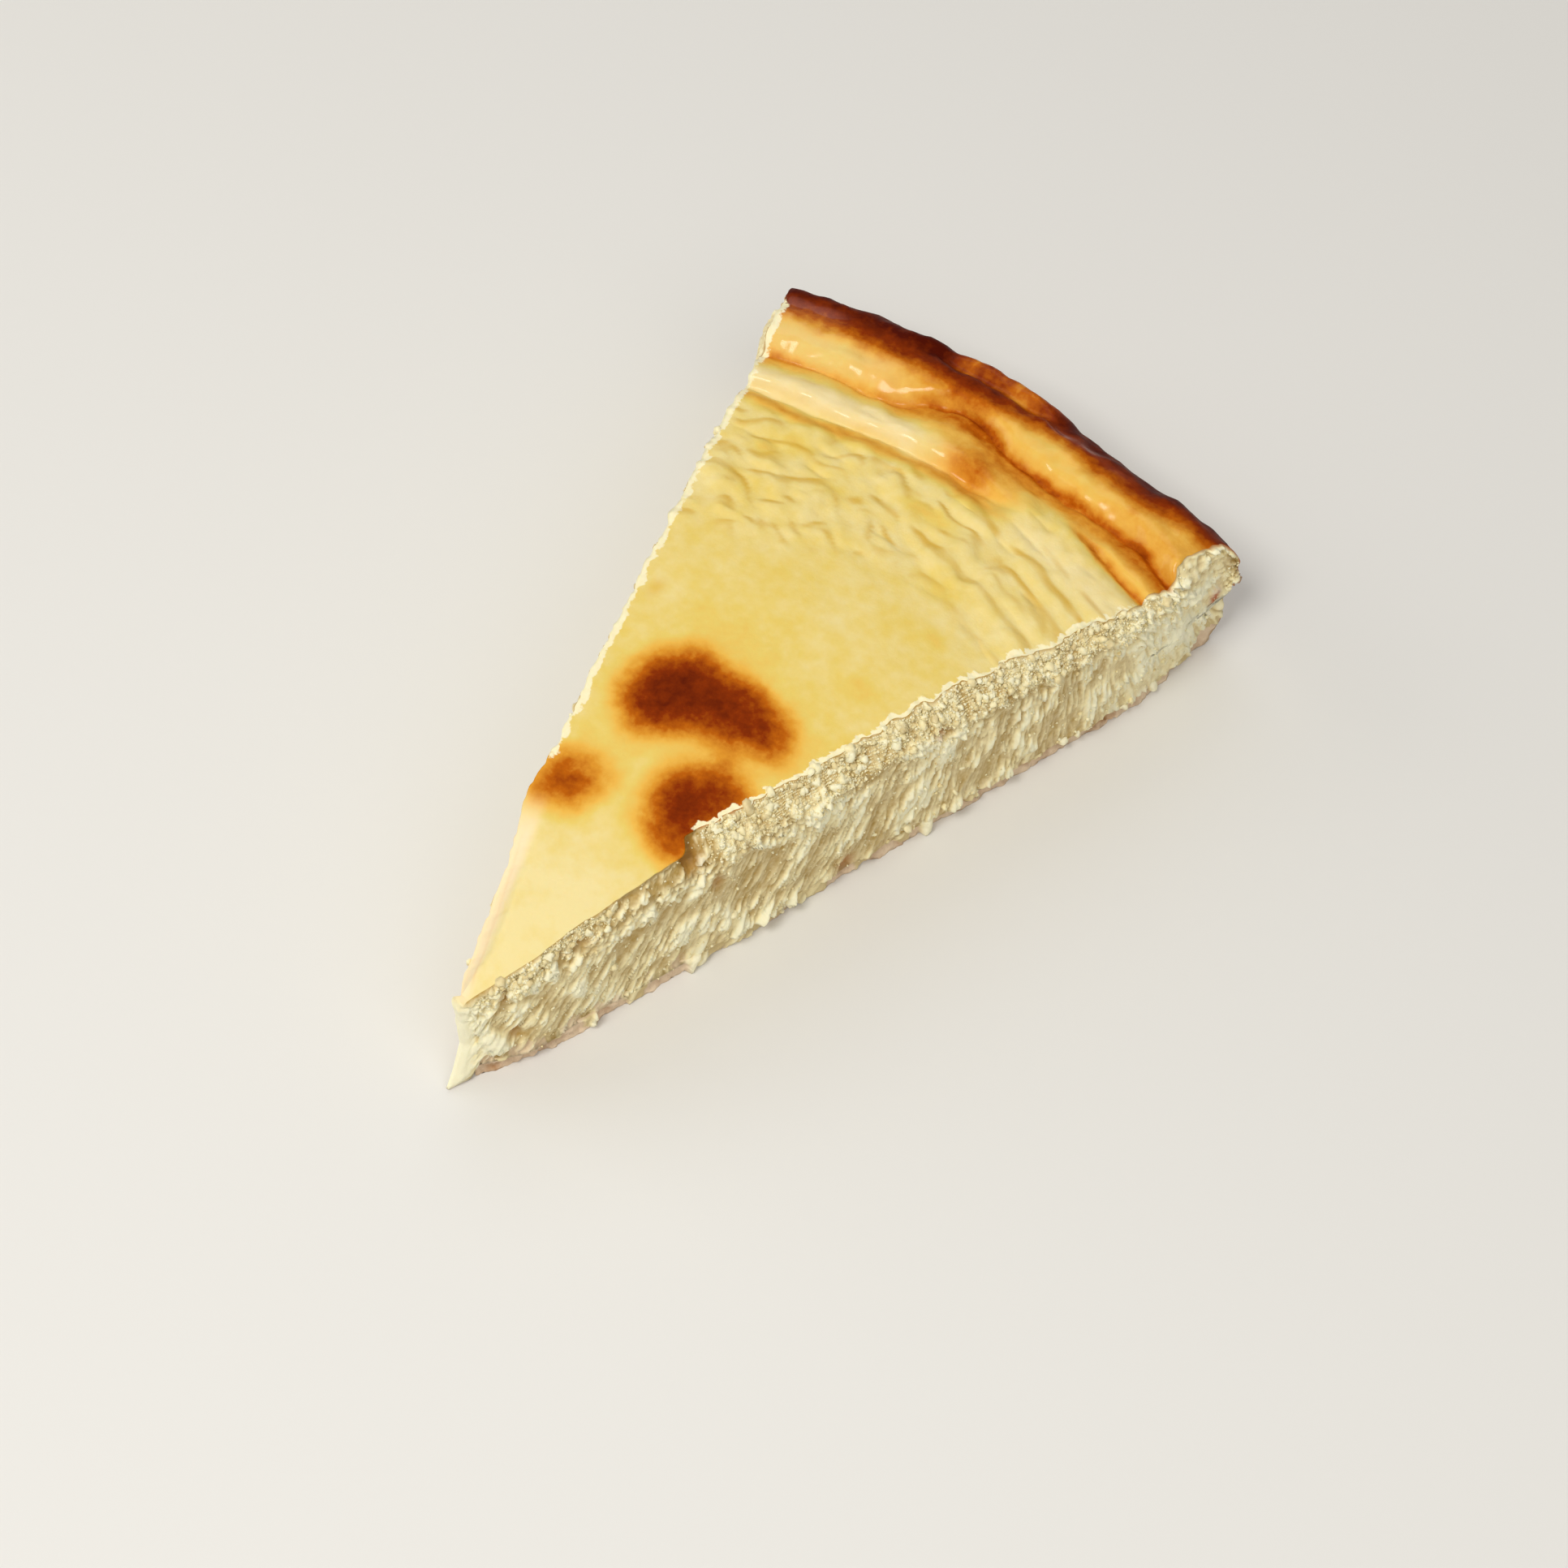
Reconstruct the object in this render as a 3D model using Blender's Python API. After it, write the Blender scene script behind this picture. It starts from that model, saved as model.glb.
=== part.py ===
"""A slice of baked cheesecake, about a tenth of a round cake.

The slice is a dense filling with a browned, wrinkled skin, on a thin pastry
shell that turns up round the rim. It points along -Y, with its front cut on the
+X side, and rests on its flat underside.

Lengths are in millimetres until the meshes are written in metres. A radius is
measured from the cake's centre and an angle, in degrees, from the slice's
middle line, towards the front cut.
"""

import math
from typing import NamedTuple

import bmesh
import bpy
import numpy as np

MM = 0.001

# The slice in plan
RIM_RADIUS = 133.6
RIM_BULGE = 0.3
RIM_BULGE_HEIGHT = 16.5
RIM_BULGE_WIDTH = 3.0
HALF_ANGLE = 17.2
TIP_RADIUS = 0.6
TIP_LEAN = 2.6
TIP_LENGTH = 20.0
CENTRE_ACROSS = -0.3
CENTRE_ALONG = 67.1

# The skin's height, from the tip to the shoulder over the rim
BODY_HEIGHT = 28.8
TIP_DROP = 11.5
TIP_DROP_LENGTH = 17.0
RIM_SINK = 2.4
RIM_SINK_BAND = (72.0, 112.0)
SHOULDER_START = 122.5
SHOULDER_DROP = 9.0


class Fold(NamedTuple):
    """A ridge or, with a negative rise, a valley of skin that runs along the rim between two angles."""

    radius: float
    slant: float
    rise: float
    width: float
    start: float
    end: float


OUTER_VALLEY = Fold(radius=117.6, slant=0.05, rise=-1.9, width=2.4, start=-40.0, end=40.0)
INNER_VALLEY = Fold(radius=109.5, slant=0.0, rise=-1.4, width=1.8, start=-40.0, end=4.0)
CREASE = Fold(radius=111.6, slant=0.2, rise=-1.0, width=1.3, start=12.0, end=40.0)
RIDGE = Fold(radius=124.0, slant=0.0, rise=0.2, width=4.0, start=-40.0, end=40.0)
LOBE_GROOVE = Fold(radius=128.9, slant=0.0, rise=-1.2, width=1.2, start=-6.0, end=3.0)
LOBE = Fold(radius=132.2, slant=0.0, rise=1.8, width=1.8, start=-6.0, end=3.0)
FOLDS = (INNER_VALLEY, CREASE, RIDGE, LOBE_GROOVE, LOBE)
FOLD_FADE = 3.0

# The outer valley swings out round a swelling, and the rim is dented beside the lobe
SWING = 3.0
SWING_ANGLE = -2.2
SWING_SPREAD = 3.4
DENT = 2.8
DENT_ANGLE = 7.4
DENT_SPREAD = 4.0
DENT_HEIGHT = (12.0, 18.0)

# The wrinkled band of skin
WRINKLE_BAND = (84.0, 95.0)
WRINKLE_FADE = (104.0, 124.0)
WRINKLE_DEPTH = 0.6
WRINKLE_PITCH = 3.4
WRINKLE_LENGTH = 13.0
WRINKLE_SLANT = 0.12

# The skin droops over the left cut near the tip
DROOP = 3.8
DROOP_WIDTH = 3.2
DROOP_BAND = (14.0, 32.0)

# The front cut: its foot bows out, and past a tear its skin lies back behind a crumbly bevel
FOOT_BOW = 3.0
FOOT_BOW_BAND = (0.0, 15.0)
FOOT_BOW_FADE = (112.0, 134.0)
EDGE_SET_BACK = 1.2
EDGE_BAND = (2.0, 14.0)
EDGE_FADE = (124.0, 132.0)
BEVEL = 1.6
BEVEL_BAND = (39.0, 47.0)
BEVEL_FADE = (80.0, 112.0)
TEAR = 1.7
TEAR_RADIUS = 40.0
TEAR_WIDTH = 3.2
TEAR_HEIGHT = 3.5

# The left cut swells a little below the skin, with a flap of skin near the tip and a lump near the rim
LEFT_BOW = 0.8
LEFT_BOW_BAND = (70.0, 100.0)
FLAP = 0.9
FLAP_RADIUS = 31.5
FLAP_WIDTH = 4.0
LUMP = 2.0
LUMP_RADIUS = 124.0
LUMP_WIDTH = 7.0
LUMP_DEPTH = 6.0

# Relief on both cuts: lumps under the skin, and leaning furrows below them
CRUMB_BAND = 4.0
CRUMB_SIZE = 3.4
CRUMB_RELIEF = 0.45
FURROW_BAND = (2.0, 6.0)
FURROW_LEAN = 0.5
FURROW_PITCH = 3.3
FURROW_LENGTH = 14.0
FURROW_RELIEF = 0.4
CUT_RELIEF_BAND = (3.0, 12.0)
RIM_RELIEF = 0.35
RIM_RELIEF_SIZE = 9.0

# The pastry shell, and the ledge of filling that rose over its wall
BASE_THICKNESS = 3.0
WALL_THICKNESS = 4.2
WALL_HEIGHT = 11.4
OUTER_CORNER = 5.0
INNER_CORNER = 3.2
PASTRY_TIP = 4.2
PASTRY_INSET = 0.5
PASTRY_UNEVEN = 0.45
PASTRY_UNEVEN_LENGTH = 2.6
LEDGE_HEIGHT = 12.0
GAP = 0.3

# In front of the pastry's tip the filling reaches down almost to the resting plane
TIP_FOOT = 0.5
TIP_FOOT_BAND = (2.8, 3.5)

# Worked out from the sizes above
FLOOR = BASE_THICKNESS + GAP
WALL_INSIDE = RIM_RADIUS - WALL_THICKNESS
CORNER_START = RIM_RADIUS - OUTER_CORNER

# Rows of points across, along and up each solid
FILLING_COLUMNS = 26
LEDGE_LEVEL = 0.3
CORNER_LEVEL = LEDGE_LEVEL * INNER_CORNER / (LEDGE_HEIGHT - FLOOR)
FILLING_LEVELS = np.array([0.0, CORNER_LEVEL, LEDGE_LEVEL, 0.32, 0.45, 0.58, 0.7, 0.8, 0.88, 0.95, 1.0])
BENT_FROM = 112.0
FILLING_STATIONS = np.concatenate(
    [
        np.linspace(TIP_RADIUS, TIP_FOOT_BAND[0], 3),
        np.linspace(TIP_FOOT_BAND[1], 60.0, 25, endpoint=False),
        np.linspace(60.0, 104.0, 28, endpoint=False),
        np.linspace(104.0, RIM_RADIUS, 26),
    ]
)
PASTRY_COLUMNS = 20
PASTRY_LEVELS = np.linspace(0.0, 1.0, 3)
PASTRY_STATIONS = np.concatenate(
    [
        np.linspace(PASTRY_TIP, CORNER_START, 56, endpoint=False),
        np.linspace(CORNER_START, RIM_RADIUS, 5, endpoint=False),
        np.linspace(RIM_RADIUS, RIM_RADIUS + WALL_HEIGHT - OUTER_CORNER, 4),
    ]
)

NOISE_TABLE = 64
FLAT_ANGLE = math.radians(0.02)
SHARP_ANGLE = math.radians(50.0)


def smooth_noise(x, y, seed):
    """Smooth random hills and hollows from -1 to 1, one unit apart."""
    table = np.random.default_rng(seed).uniform(-1.0, 1.0, (NOISE_TABLE, NOISE_TABLE))
    column = np.floor(x).astype(int)
    row = np.floor(y).astype(int)
    across = ramp(x - column, 0.0, 1.0)
    up = ramp(y - row, 0.0, 1.0)

    def corner(i, j):
        return table[(column + i) % NOISE_TABLE, (row + j) % NOISE_TABLE]

    low = corner(0, 0) * (1.0 - across) + corner(1, 0) * across
    high = corner(0, 1) * (1.0 - across) + corner(1, 1) * across
    return low * (1.0 - up) + high * up


def ramp(x, start, end):
    """0 before start, 1 after end, and smooth between."""
    share = np.clip((x - start) / (end - start), 0.0, 1.0)
    return share * share * (3.0 - 2.0 * share)


def plateau(x, rise, fall):
    """0 before the rise, 1 between rise and fall, and 0 again after the fall."""
    return ramp(x, *rise) * (1.0 - ramp(x, *fall))


def hill(distance, width):
    """1 at no distance, falling smoothly to 0 over about two widths."""
    return np.exp(-((distance / width) ** 2))


def fold_height(fold, radius, angle, swing=0.0):
    """What a fold adds to the skin's height."""
    line = fold.radius + fold.slant * angle + swing
    fade = ramp(angle, fold.start - FOLD_FADE, fold.start + FOLD_FADE)
    fade *= 1.0 - ramp(angle, fold.end - FOLD_FADE, fold.end + FOLD_FADE)
    return fold.rise * hill(radius - line, fold.width) * fade


def wrinkles(radius, angle):
    """Narrow creases between low pads, drawn out along the rim."""
    arc = np.radians(angle) * INNER_VALLEY.radius
    pads = smooth_noise(arc / WRINKLE_LENGTH, (radius + WRINKLE_SLANT * arc) / WRINKLE_PITCH, seed=31)
    crease = (1.0 - np.abs(pads)) ** 3
    return -WRINKLE_DEPTH * crease * plateau(radius, WRINKLE_BAND, WRINKLE_FADE)


def skin_height(radius, angle):
    """Height of the skin above the resting plane."""
    height = BODY_HEIGHT - TIP_DROP * np.exp(-radius / TIP_DROP_LENGTH)
    height -= RIM_SINK * ramp(radius, *RIM_SINK_BAND)
    height += fold_height(OUTER_VALLEY, radius, angle, SWING * hill(angle - SWING_ANGLE, SWING_SPREAD))
    height += sum(fold_height(fold, radius, angle) for fold in FOLDS)
    height += wrinkles(radius, angle)
    half_width = np.radians(HALF_ANGLE) * radius
    from_left = np.radians(angle + HALF_ANGLE) * radius
    droop = DROOP * (1.0 - ramp(from_left, 0.0, np.minimum(DROOP_WIDTH, half_width)))
    height -= droop * (1.0 - ramp(radius, *DROOP_BAND))
    past = np.clip((radius - SHOULDER_START) / (RIM_RADIUS - SHOULDER_START), 0.0, 1.0)
    return height - SHOULDER_DROP * (1.0 - np.sqrt(1.0 - past**2))


def cut_relief(radius, height, depth, seed):
    """Broken lumps in a band under the skin, and furrows that the knife drew down the cut below them."""
    lumps = CRUMB_RELIEF * smooth_noise(radius / CRUMB_SIZE, depth / CRUMB_SIZE, seed)
    lumps *= ramp(depth, 0.0, CRUMB_BAND / 2.0) * (1.0 - ramp(depth, CRUMB_BAND, 2.0 * CRUMB_BAND))
    along = (radius - FURROW_LEAN * height) / FURROW_PITCH
    furrows = FURROW_RELIEF * smooth_noise(along, height / FURROW_LENGTH, seed + 1)
    furrows *= ramp(depth, *FURROW_BAND)
    return (lumps + furrows) * ramp(radius, *CUT_RELIEF_BAND)


def foot_bow(radius):
    """How far the foot of the front cut stands out from a true wedge."""
    return FOOT_BOW * plateau(radius, FOOT_BOW_BAND, FOOT_BOW_FADE)


def front_offset(radius, height, depth):
    """How far the front cut stands out from a true wedge. Depth is measured down from the skin."""
    set_back = EDGE_SET_BACK * plateau(radius, EDGE_BAND, EDGE_FADE)
    set_back += BEVEL * plateau(radius, BEVEL_BAND, BEVEL_FADE)
    set_back *= 1.0 - ramp(depth, 0.0, CRUMB_BAND)
    tear = TEAR * hill(radius - TEAR_RADIUS, TEAR_WIDTH) * hill(depth, TEAR_HEIGHT)
    return foot_bow(radius) - set_back - tear + cut_relief(radius, height, depth, seed=11)


def left_offset(radius, height, depth):
    """How far the left cut stands out from a true wedge."""
    bow = LEFT_BOW * ramp(radius, *LEFT_BOW_BAND) * ramp(depth, 0.0, CRUMB_BAND)
    flap = FLAP * hill(radius - FLAP_RADIUS, FLAP_WIDTH) * hill(depth, CRUMB_BAND)
    lump = LUMP * hill(radius - LUMP_RADIUS, LUMP_WIDTH) * hill(depth - LUMP_DEPTH, CRUMB_BAND)
    return bow + flap + lump + cut_relief(radius, height, depth, seed=21)


def rim_radius(level, height, angle):
    """Radius of the filling's outer end: inside the pastry wall up to the ledge, and out over it above."""
    inside = WALL_INSIDE - GAP - INNER_CORNER * (1.0 - np.clip(level / CORNER_LEVEL, 0.0, 1.0))
    bulge = RIM_BULGE * hill(height - RIM_BULGE_HEIGHT, RIM_BULGE_WIDTH)
    arc = np.radians(angle) * RIM_RADIUS
    uneven = RIM_RELIEF * smooth_noise(arc / RIM_RELIEF_SIZE, height / RIM_RELIEF_SIZE, seed=51)
    dent = DENT * hill(angle - DENT_ANGLE, DENT_SPREAD) * ramp(height, *DENT_HEIGHT)
    return np.where(level <= LEDGE_LEVEL, inside, RIM_RADIUS + bulge + uneven - dent)


def place_filling(across, station, level):
    """Radius, angle and height of the filling's lattice points. across and level run from 0 to 1."""
    angle = (2.0 * across - 1.0) * HALF_ANGLE
    lean = TIP_LEAN * (1.0 - ramp(station, TIP_RADIUS, TIP_LENGTH))
    top = skin_height(station + lean, angle)
    floor = TIP_FOOT + (FLOOR - TIP_FOOT) * ramp(station, *TIP_FOOT_BAND)
    below_ledge = floor + level / LEDGE_LEVEL * (LEDGE_HEIGHT - floor)
    above_ledge = LEDGE_HEIGHT + (level - LEDGE_LEVEL) / (1.0 - LEDGE_LEVEL) * (top - LEDGE_HEIGHT)
    height = np.where(level <= LEDGE_LEVEL, below_ledge, above_ledge)
    bent = np.clip((station - BENT_FROM) / (RIM_RADIUS - BENT_FROM), 0.0, 1.0)
    radius = station + lean * level + bent * (rim_radius(level, height, angle) - RIM_RADIUS)
    left = -HALF_ANGLE - np.degrees(left_offset(radius, height, top - height) / radius)
    front = HALF_ANGLE + np.degrees(front_offset(radius, height, top - height) / radius)
    return radius, left + across * (front - left), height


def place_pastry(across, station, level):
    """Radius, angle and height of the pastry's lattice points. The sheet bends up past CORNER_START."""
    past = np.maximum(station - CORNER_START, 0.0)
    bend = np.clip(past / OUTER_CORNER, 0.0, 1.0)
    rise = np.maximum(past - OUTER_CORNER, 0.0)
    outer_radius = np.minimum(station, CORNER_START) + OUTER_CORNER * np.sin(bend * math.pi / 2.0)
    outer_height = OUTER_CORNER * (1.0 - np.cos(bend * math.pi / 2.0)) + rise
    inner_start = WALL_INSIDE - INNER_CORNER
    inner_radius = np.minimum(station / CORNER_START, 1.0) * inner_start + bend * INNER_CORNER
    inner_rise = (WALL_HEIGHT - BASE_THICKNESS - INNER_CORNER) / (WALL_HEIGHT - OUTER_CORNER)
    inner_height = BASE_THICKNESS + bend * INNER_CORNER + rise * inner_rise
    radius = outer_radius + level * (inner_radius - outer_radius)
    height = outer_height + level * (inner_height - outer_height)

    def edge(seed):
        uneven = smooth_noise(station / PASTRY_UNEVEN_LENGTH, level * len(PASTRY_LEVELS), seed)
        return (PASTRY_INSET + PASTRY_UNEVEN * uneven) / radius

    left = -HALF_ANGLE + np.degrees(edge(seed=41))
    front = HALF_ANGLE + np.degrees(foot_bow(station) / radius - edge(seed=42))
    return radius, left + across * (front - left), height


def lattice_shell(columns, rows, levels):
    """Places of all lattice points on the surface of a box of cells, and the outward quads over them."""
    i, j, k = np.meshgrid(np.arange(columns), np.arange(rows), np.arange(levels), indexing="ij")
    ends = (i == 0) | (i == columns - 1) | (j == 0) | (j == rows - 1)
    outside = ends | (k == 0) | (k == levels - 1)
    number = np.full(outside.shape, -1)
    number[outside] = np.arange(outside.sum())

    def quads(sheet, turned):
        corners = np.stack([sheet[:-1, :-1], sheet[1:, :-1], sheet[1:, 1:], sheet[:-1, 1:]], axis=-1)
        corners = corners.reshape(-1, 4)
        return corners[:, ::-1] if turned else corners

    faces = [
        quads(number[:, :, -1], turned=False),
        quads(number[:, :, 0], turned=True),
        quads(number[-1, :, :], turned=False),
        quads(number[0, :, :], turned=True),
        quads(number[:, 0, :], turned=False),
        quads(number[:, -1, :], turned=True),
    ]
    return i[outside], j[outside], k[outside], np.concatenate(faces)


def make_solid(name, columns, stations, levels, place, material):
    """One closed solid: a box lattice bent into shape, with its level faces joined into single ones."""
    i, j, k, faces = lattice_shell(columns + 1, len(stations), len(levels))
    radius, angle, height = place(i / columns, stations[j], levels[k])
    across = radius * np.sin(np.radians(angle)) - CENTRE_ACROSS
    along = radius * np.cos(np.radians(angle)) - CENTRE_ALONG
    points = np.stack([across, along, height], axis=-1) * MM
    mesh = bpy.data.meshes.new(name)
    mesh.from_pydata(points.tolist(), [], faces.tolist())
    mesh.materials.append(material)
    solid = bmesh.new()
    solid.from_mesh(mesh)
    bmesh.ops.dissolve_limit(solid, angle_limit=FLAT_ANGLE, verts=solid.verts[:], edges=solid.edges[:])
    solid.to_mesh(mesh)
    solid.free()
    mesh.shade_smooth()
    mesh.set_sharp_from_angle(angle=SHARP_ANGLE)
    piece = bpy.data.objects.new(name, mesh)
    bpy.context.scene.collection.objects.link(piece)
    return piece


def food_material(name, colour, roughness):
    """A plain food surface of one colour."""
    material = bpy.data.materials.new(name)
    material.use_nodes = True
    shader = material.node_tree.nodes["Principled BSDF"]
    shader.inputs["Base Color"].default_value = (*colour, 1.0)
    shader.inputs["Roughness"].default_value = roughness
    shader.inputs["Metallic"].default_value = 0.0
    return material


def build():
    for old in list(bpy.data.objects):
        bpy.data.objects.remove(old)
    filling = food_material("baked_filling", (0.84, 0.66, 0.27), 0.45)
    pastry = food_material("pastry", (0.56, 0.34, 0.19), 0.8)
    make_solid("filling", FILLING_COLUMNS, FILLING_STATIONS, FILLING_LEVELS, place_filling, filling)
    make_solid("pastry_base", PASTRY_COLUMNS, PASTRY_STATIONS, PASTRY_LEVELS, place_pastry, pastry)


build()
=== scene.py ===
"""How a slice of baked cheesecake looks: its browned skin, its crumbly cuts and its pastry base.

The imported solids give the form. A finer piece that follows the same named sizes
stands for each of them, with the relief and the colours that are too small for
the solids, and loose crumbs lie on the cuts.

Lengths are in millimetres until the meshes are written in metres. A radius is
measured from the cake's centre and an angle, in degrees, from the slice's
middle line, towards the front cut.
"""

import math
from typing import NamedTuple

import bmesh
import bpy
import numpy as np
from mathutils import Matrix, Vector, noise


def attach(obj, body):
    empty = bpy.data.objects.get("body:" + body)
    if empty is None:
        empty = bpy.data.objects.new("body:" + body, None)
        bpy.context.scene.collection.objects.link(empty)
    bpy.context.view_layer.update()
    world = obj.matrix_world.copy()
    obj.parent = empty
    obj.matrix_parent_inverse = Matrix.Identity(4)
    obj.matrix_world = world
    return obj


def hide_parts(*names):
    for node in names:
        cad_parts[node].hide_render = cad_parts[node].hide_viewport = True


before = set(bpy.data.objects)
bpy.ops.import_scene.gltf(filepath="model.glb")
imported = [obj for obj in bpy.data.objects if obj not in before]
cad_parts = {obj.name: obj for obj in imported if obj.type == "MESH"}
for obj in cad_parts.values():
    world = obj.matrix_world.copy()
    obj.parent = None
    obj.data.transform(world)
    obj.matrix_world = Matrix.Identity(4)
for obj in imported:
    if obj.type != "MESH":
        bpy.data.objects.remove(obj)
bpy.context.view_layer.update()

MM = 0.001

# Without a seed, the noise that sways the curds differs from run to run
noise.seed_set(1)

# The slice in plan
RIM_RADIUS = 133.6
RIM_BULGE = 0.3
RIM_BULGE_HEIGHT = 16.5
RIM_BULGE_WIDTH = 3.0
HALF_ANGLE = 17.2
TIP_RADIUS = 0.6
TIP_LEAN = 2.6
TIP_LENGTH = 20.0
CENTRE_ACROSS = -0.3
CENTRE_ALONG = 67.1

# The skin's height, from the tip to the shoulder over the rim
BODY_HEIGHT = 28.8
TIP_DROP = 11.5
TIP_DROP_LENGTH = 17.0
RIM_SINK = 2.4
RIM_SINK_BAND = (72.0, 112.0)
SHOULDER_START = 122.5
SHOULDER_DROP = 9.0


class Fold(NamedTuple):
    """A ridge or, with a negative rise, a valley of skin along the rim, to the cuts if no end is given."""

    radius: float
    rise: float
    width: float
    start: float = -40.0
    end: float = 40.0


class Crease(NamedTuple):
    """A winding valley with a sharp bottom, drawn by angles and the radii there."""

    angles: tuple
    radii: tuple
    rise: float
    width: float
    start: float = -40.0
    end: float = 40.0


OUTER_VALLEY = Crease(
    angles=(-17.0, -12.0, -9.0, -6.5, -5.0, -3.0, -1.5, 0.0)
    + (1.5, 4.0, 7.0, 10.0, 13.0, 15.0, 17.0),
    radii=(117.8, 117.8, 117.0, 117.8, 119.8, 121.1, 121.8, 121.1)
    + (119.4, 118.6, 118.8, 119.5, 120.2, 120.3, 119.6),
    rise=-1.9,
    width=2.4,
)
INNER_VALLEY = Crease(
    angles=(-16.0, -11.0, -8.0, -4.0, 0.0, 4.0),
    radii=(110.7, 109.7, 110.2, 110.7, 111.1, 110.7),
    rise=-1.4,
    width=1.8,
    end=4.0,
)
SHORT_CREASE = Crease(
    angles=(11.0, 14.0, 17.0),
    radii=(115.3, 114.5, 114.4),
    rise=-1.0,
    width=1.3,
    start=12.0,
)
RIDGE = Fold(radius=124.0, rise=0.2, width=4.0)
LOBE_GROOVE = Fold(radius=128.9, rise=-1.2, width=1.2, start=-6.0, end=3.0)
LOBE = Fold(radius=132.2, rise=1.8, width=1.8, start=-6.0, end=3.0)
FOLD_FADE = 3.0
LINE_BLUR = 0.7
NEAR_SIDE = 1.5
FAR_SIDE = 0.7
SHARP_CREASE = -0.6
SHARP_CREASE_WIDTH = 0.6

# The rim stands fuller beside the lobe, with a shallow dent between
RIM_SWELL = 1.6
RIM_SWELL_RADIUS = 131.0
RIM_SWELL_WIDTH = 3.2
RIM_SWELL_AT = ((-7.5, -5.5, 11.0, 13.5), (1.0, 0.0, 0.0, 0.8))
DENT = 1.2
DENT_ANGLE = 7.4
DENT_SPREAD = 4.0
DENT_HEIGHT = (12.0, 18.0)

# The wrinkled band of skin, whose lengths are measured along BAND_RADIUS
BAND_RADIUS = 109.5
WRINKLE_BAND = (84.0, 95.0)
WRINKLE_FADE = (104.0, 124.0)
WRINKLE_DEPTH = 0.45
WRINKLE_PITCH = 3.4
WRINKLE_LENGTH = 13.0
WRINKLE_SLANT = 0.12
WRINKLE_PATCH_SIZE = (5.0, 4.0)
WRINKLE_PATCHES = (-0.1, 0.4)

# Small pads of skin with creases between them: length along the rim, pitch across it, and rise
PAD_SIZES = ((8.5, 5.0, 1.2), (5.0, 3.2, 0.8), (3.4, 2.2, 0.25))
PAD_FROM = ((-17.0, -6.0, 3.0, 17.0), (81.0, 84.0, 92.0, 91.0))
PAD_EDGE = 4.0
PAD_FADE = (106.5, 110.5)
PAD_SOFTNESS = 0.16
PAD_SWAY = (1.6, 4.5)
PAD_PATCH_SIZE = 6.0
PAD_PATCHES = (-0.5, 0.0)
PAD_LEAST = 0.2
PAD_SINK = 0.45
PAD_SLOPE_STEP = 0.5
PAD_SHADE_SLOPE = (0.0, 0.26)
PAD_SHADE_RISE = (0.3, 1.0)
PAD_TOP_LIGHT = 0.6
PLEAT_ANGLES = (8.0, 12.0)
PLEAT_STRETCH = 1.2
PLEAT_CALM = 0.6
PLEAT_FILL = 0.3

# The skin droops over the left cut near the tip
DROOP = 3.8
DROOP_WIDTH = 3.2
DROOP_BAND = (14.0, 32.0)

# The front cut: its foot bows out, and past a tear its skin lies back behind a crumbly bevel
FOOT_BOW = 3.0
FOOT_BOW_BAND = (0.0, 15.0)
FOOT_BOW_FADE = (112.0, 134.0)
EDGE_SET_BACK = 1.2
EDGE_BAND = (2.0, 14.0)
EDGE_FADE = (124.0, 132.0)
BEVEL = 1.6
BEVEL_BAND = (38.0, 45.0)
BEVEL_FADE = (80.0, 112.0)
TEAR = 2.2
TEAR_RADIUS = 39.0
TEAR_WIDTH = 4.0
TEAR_NEAR_WIDTH = 1.0
TEAR_HEIGHT = 3.5

# The left cut swells a little below the skin, with a flap of skin near the tip and a lump near the rim
LEFT_BOW = 0.8
LEFT_BOW_BAND = (70.0, 100.0)
FLAP = 0.9
FLAP_RADIUS = 31.5
FLAP_WIDTH = 4.0
LUMP = 2.0
LUMP_RADIUS = 124.0
LUMP_WIDTH = 7.0
LUMP_DEPTH = 6.0

# Relief on both cuts: lumps under the skin, and leaning furrows below them
CRUMB_BAND = 4.0
CRUMB_SIZE = 3.4
CRUMB_RELIEF = 0.45
FURROW_BAND = (2.0, 6.0)
FURROW_LEAN = 0.5
FURROW_PITCH = 3.3
FURROW_LENGTH = 14.0
FURROW_RELIEF = 0.4
CUT_RELIEF_BAND = (3.0, 12.0)
RIM_RELIEF = 0.35
RIM_RELIEF_SIZE = 9.0

# The pastry shell, and the ledge of filling that rose over its wall
BASE_THICKNESS = 3.0
WALL_THICKNESS = 4.2
WALL_HEIGHT = 11.4
OUTER_CORNER = 5.0
INNER_CORNER = 3.2
PASTRY_TIP = 4.2
PASTRY_INSET = 0.5
PASTRY_UNEVEN = 0.45
PASTRY_UNEVEN_LENGTH = 2.6
PASTRY_UNEVEN_LEVELS = 3
LEDGE_HEIGHT = 12.0
GAP = 0.3
BOND = 0.1
TIP_FOOT = 0.5
TIP_FOOT_BAND = (3.6, 4.4)

# Worked out from the sizes above
FLOOR = BASE_THICKNESS - BOND
WALL_INSIDE = RIM_RADIUS - WALL_THICKNESS
CORNER_START = RIM_RADIUS - OUTER_CORNER
LEDGE_LEVEL = 0.3
CORNER_LEVEL = LEDGE_LEVEL * INNER_CORNER / (LEDGE_HEIGHT - FLOOR)
BENT_FROM = 112.0

NOISE_TABLE = 64

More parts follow.
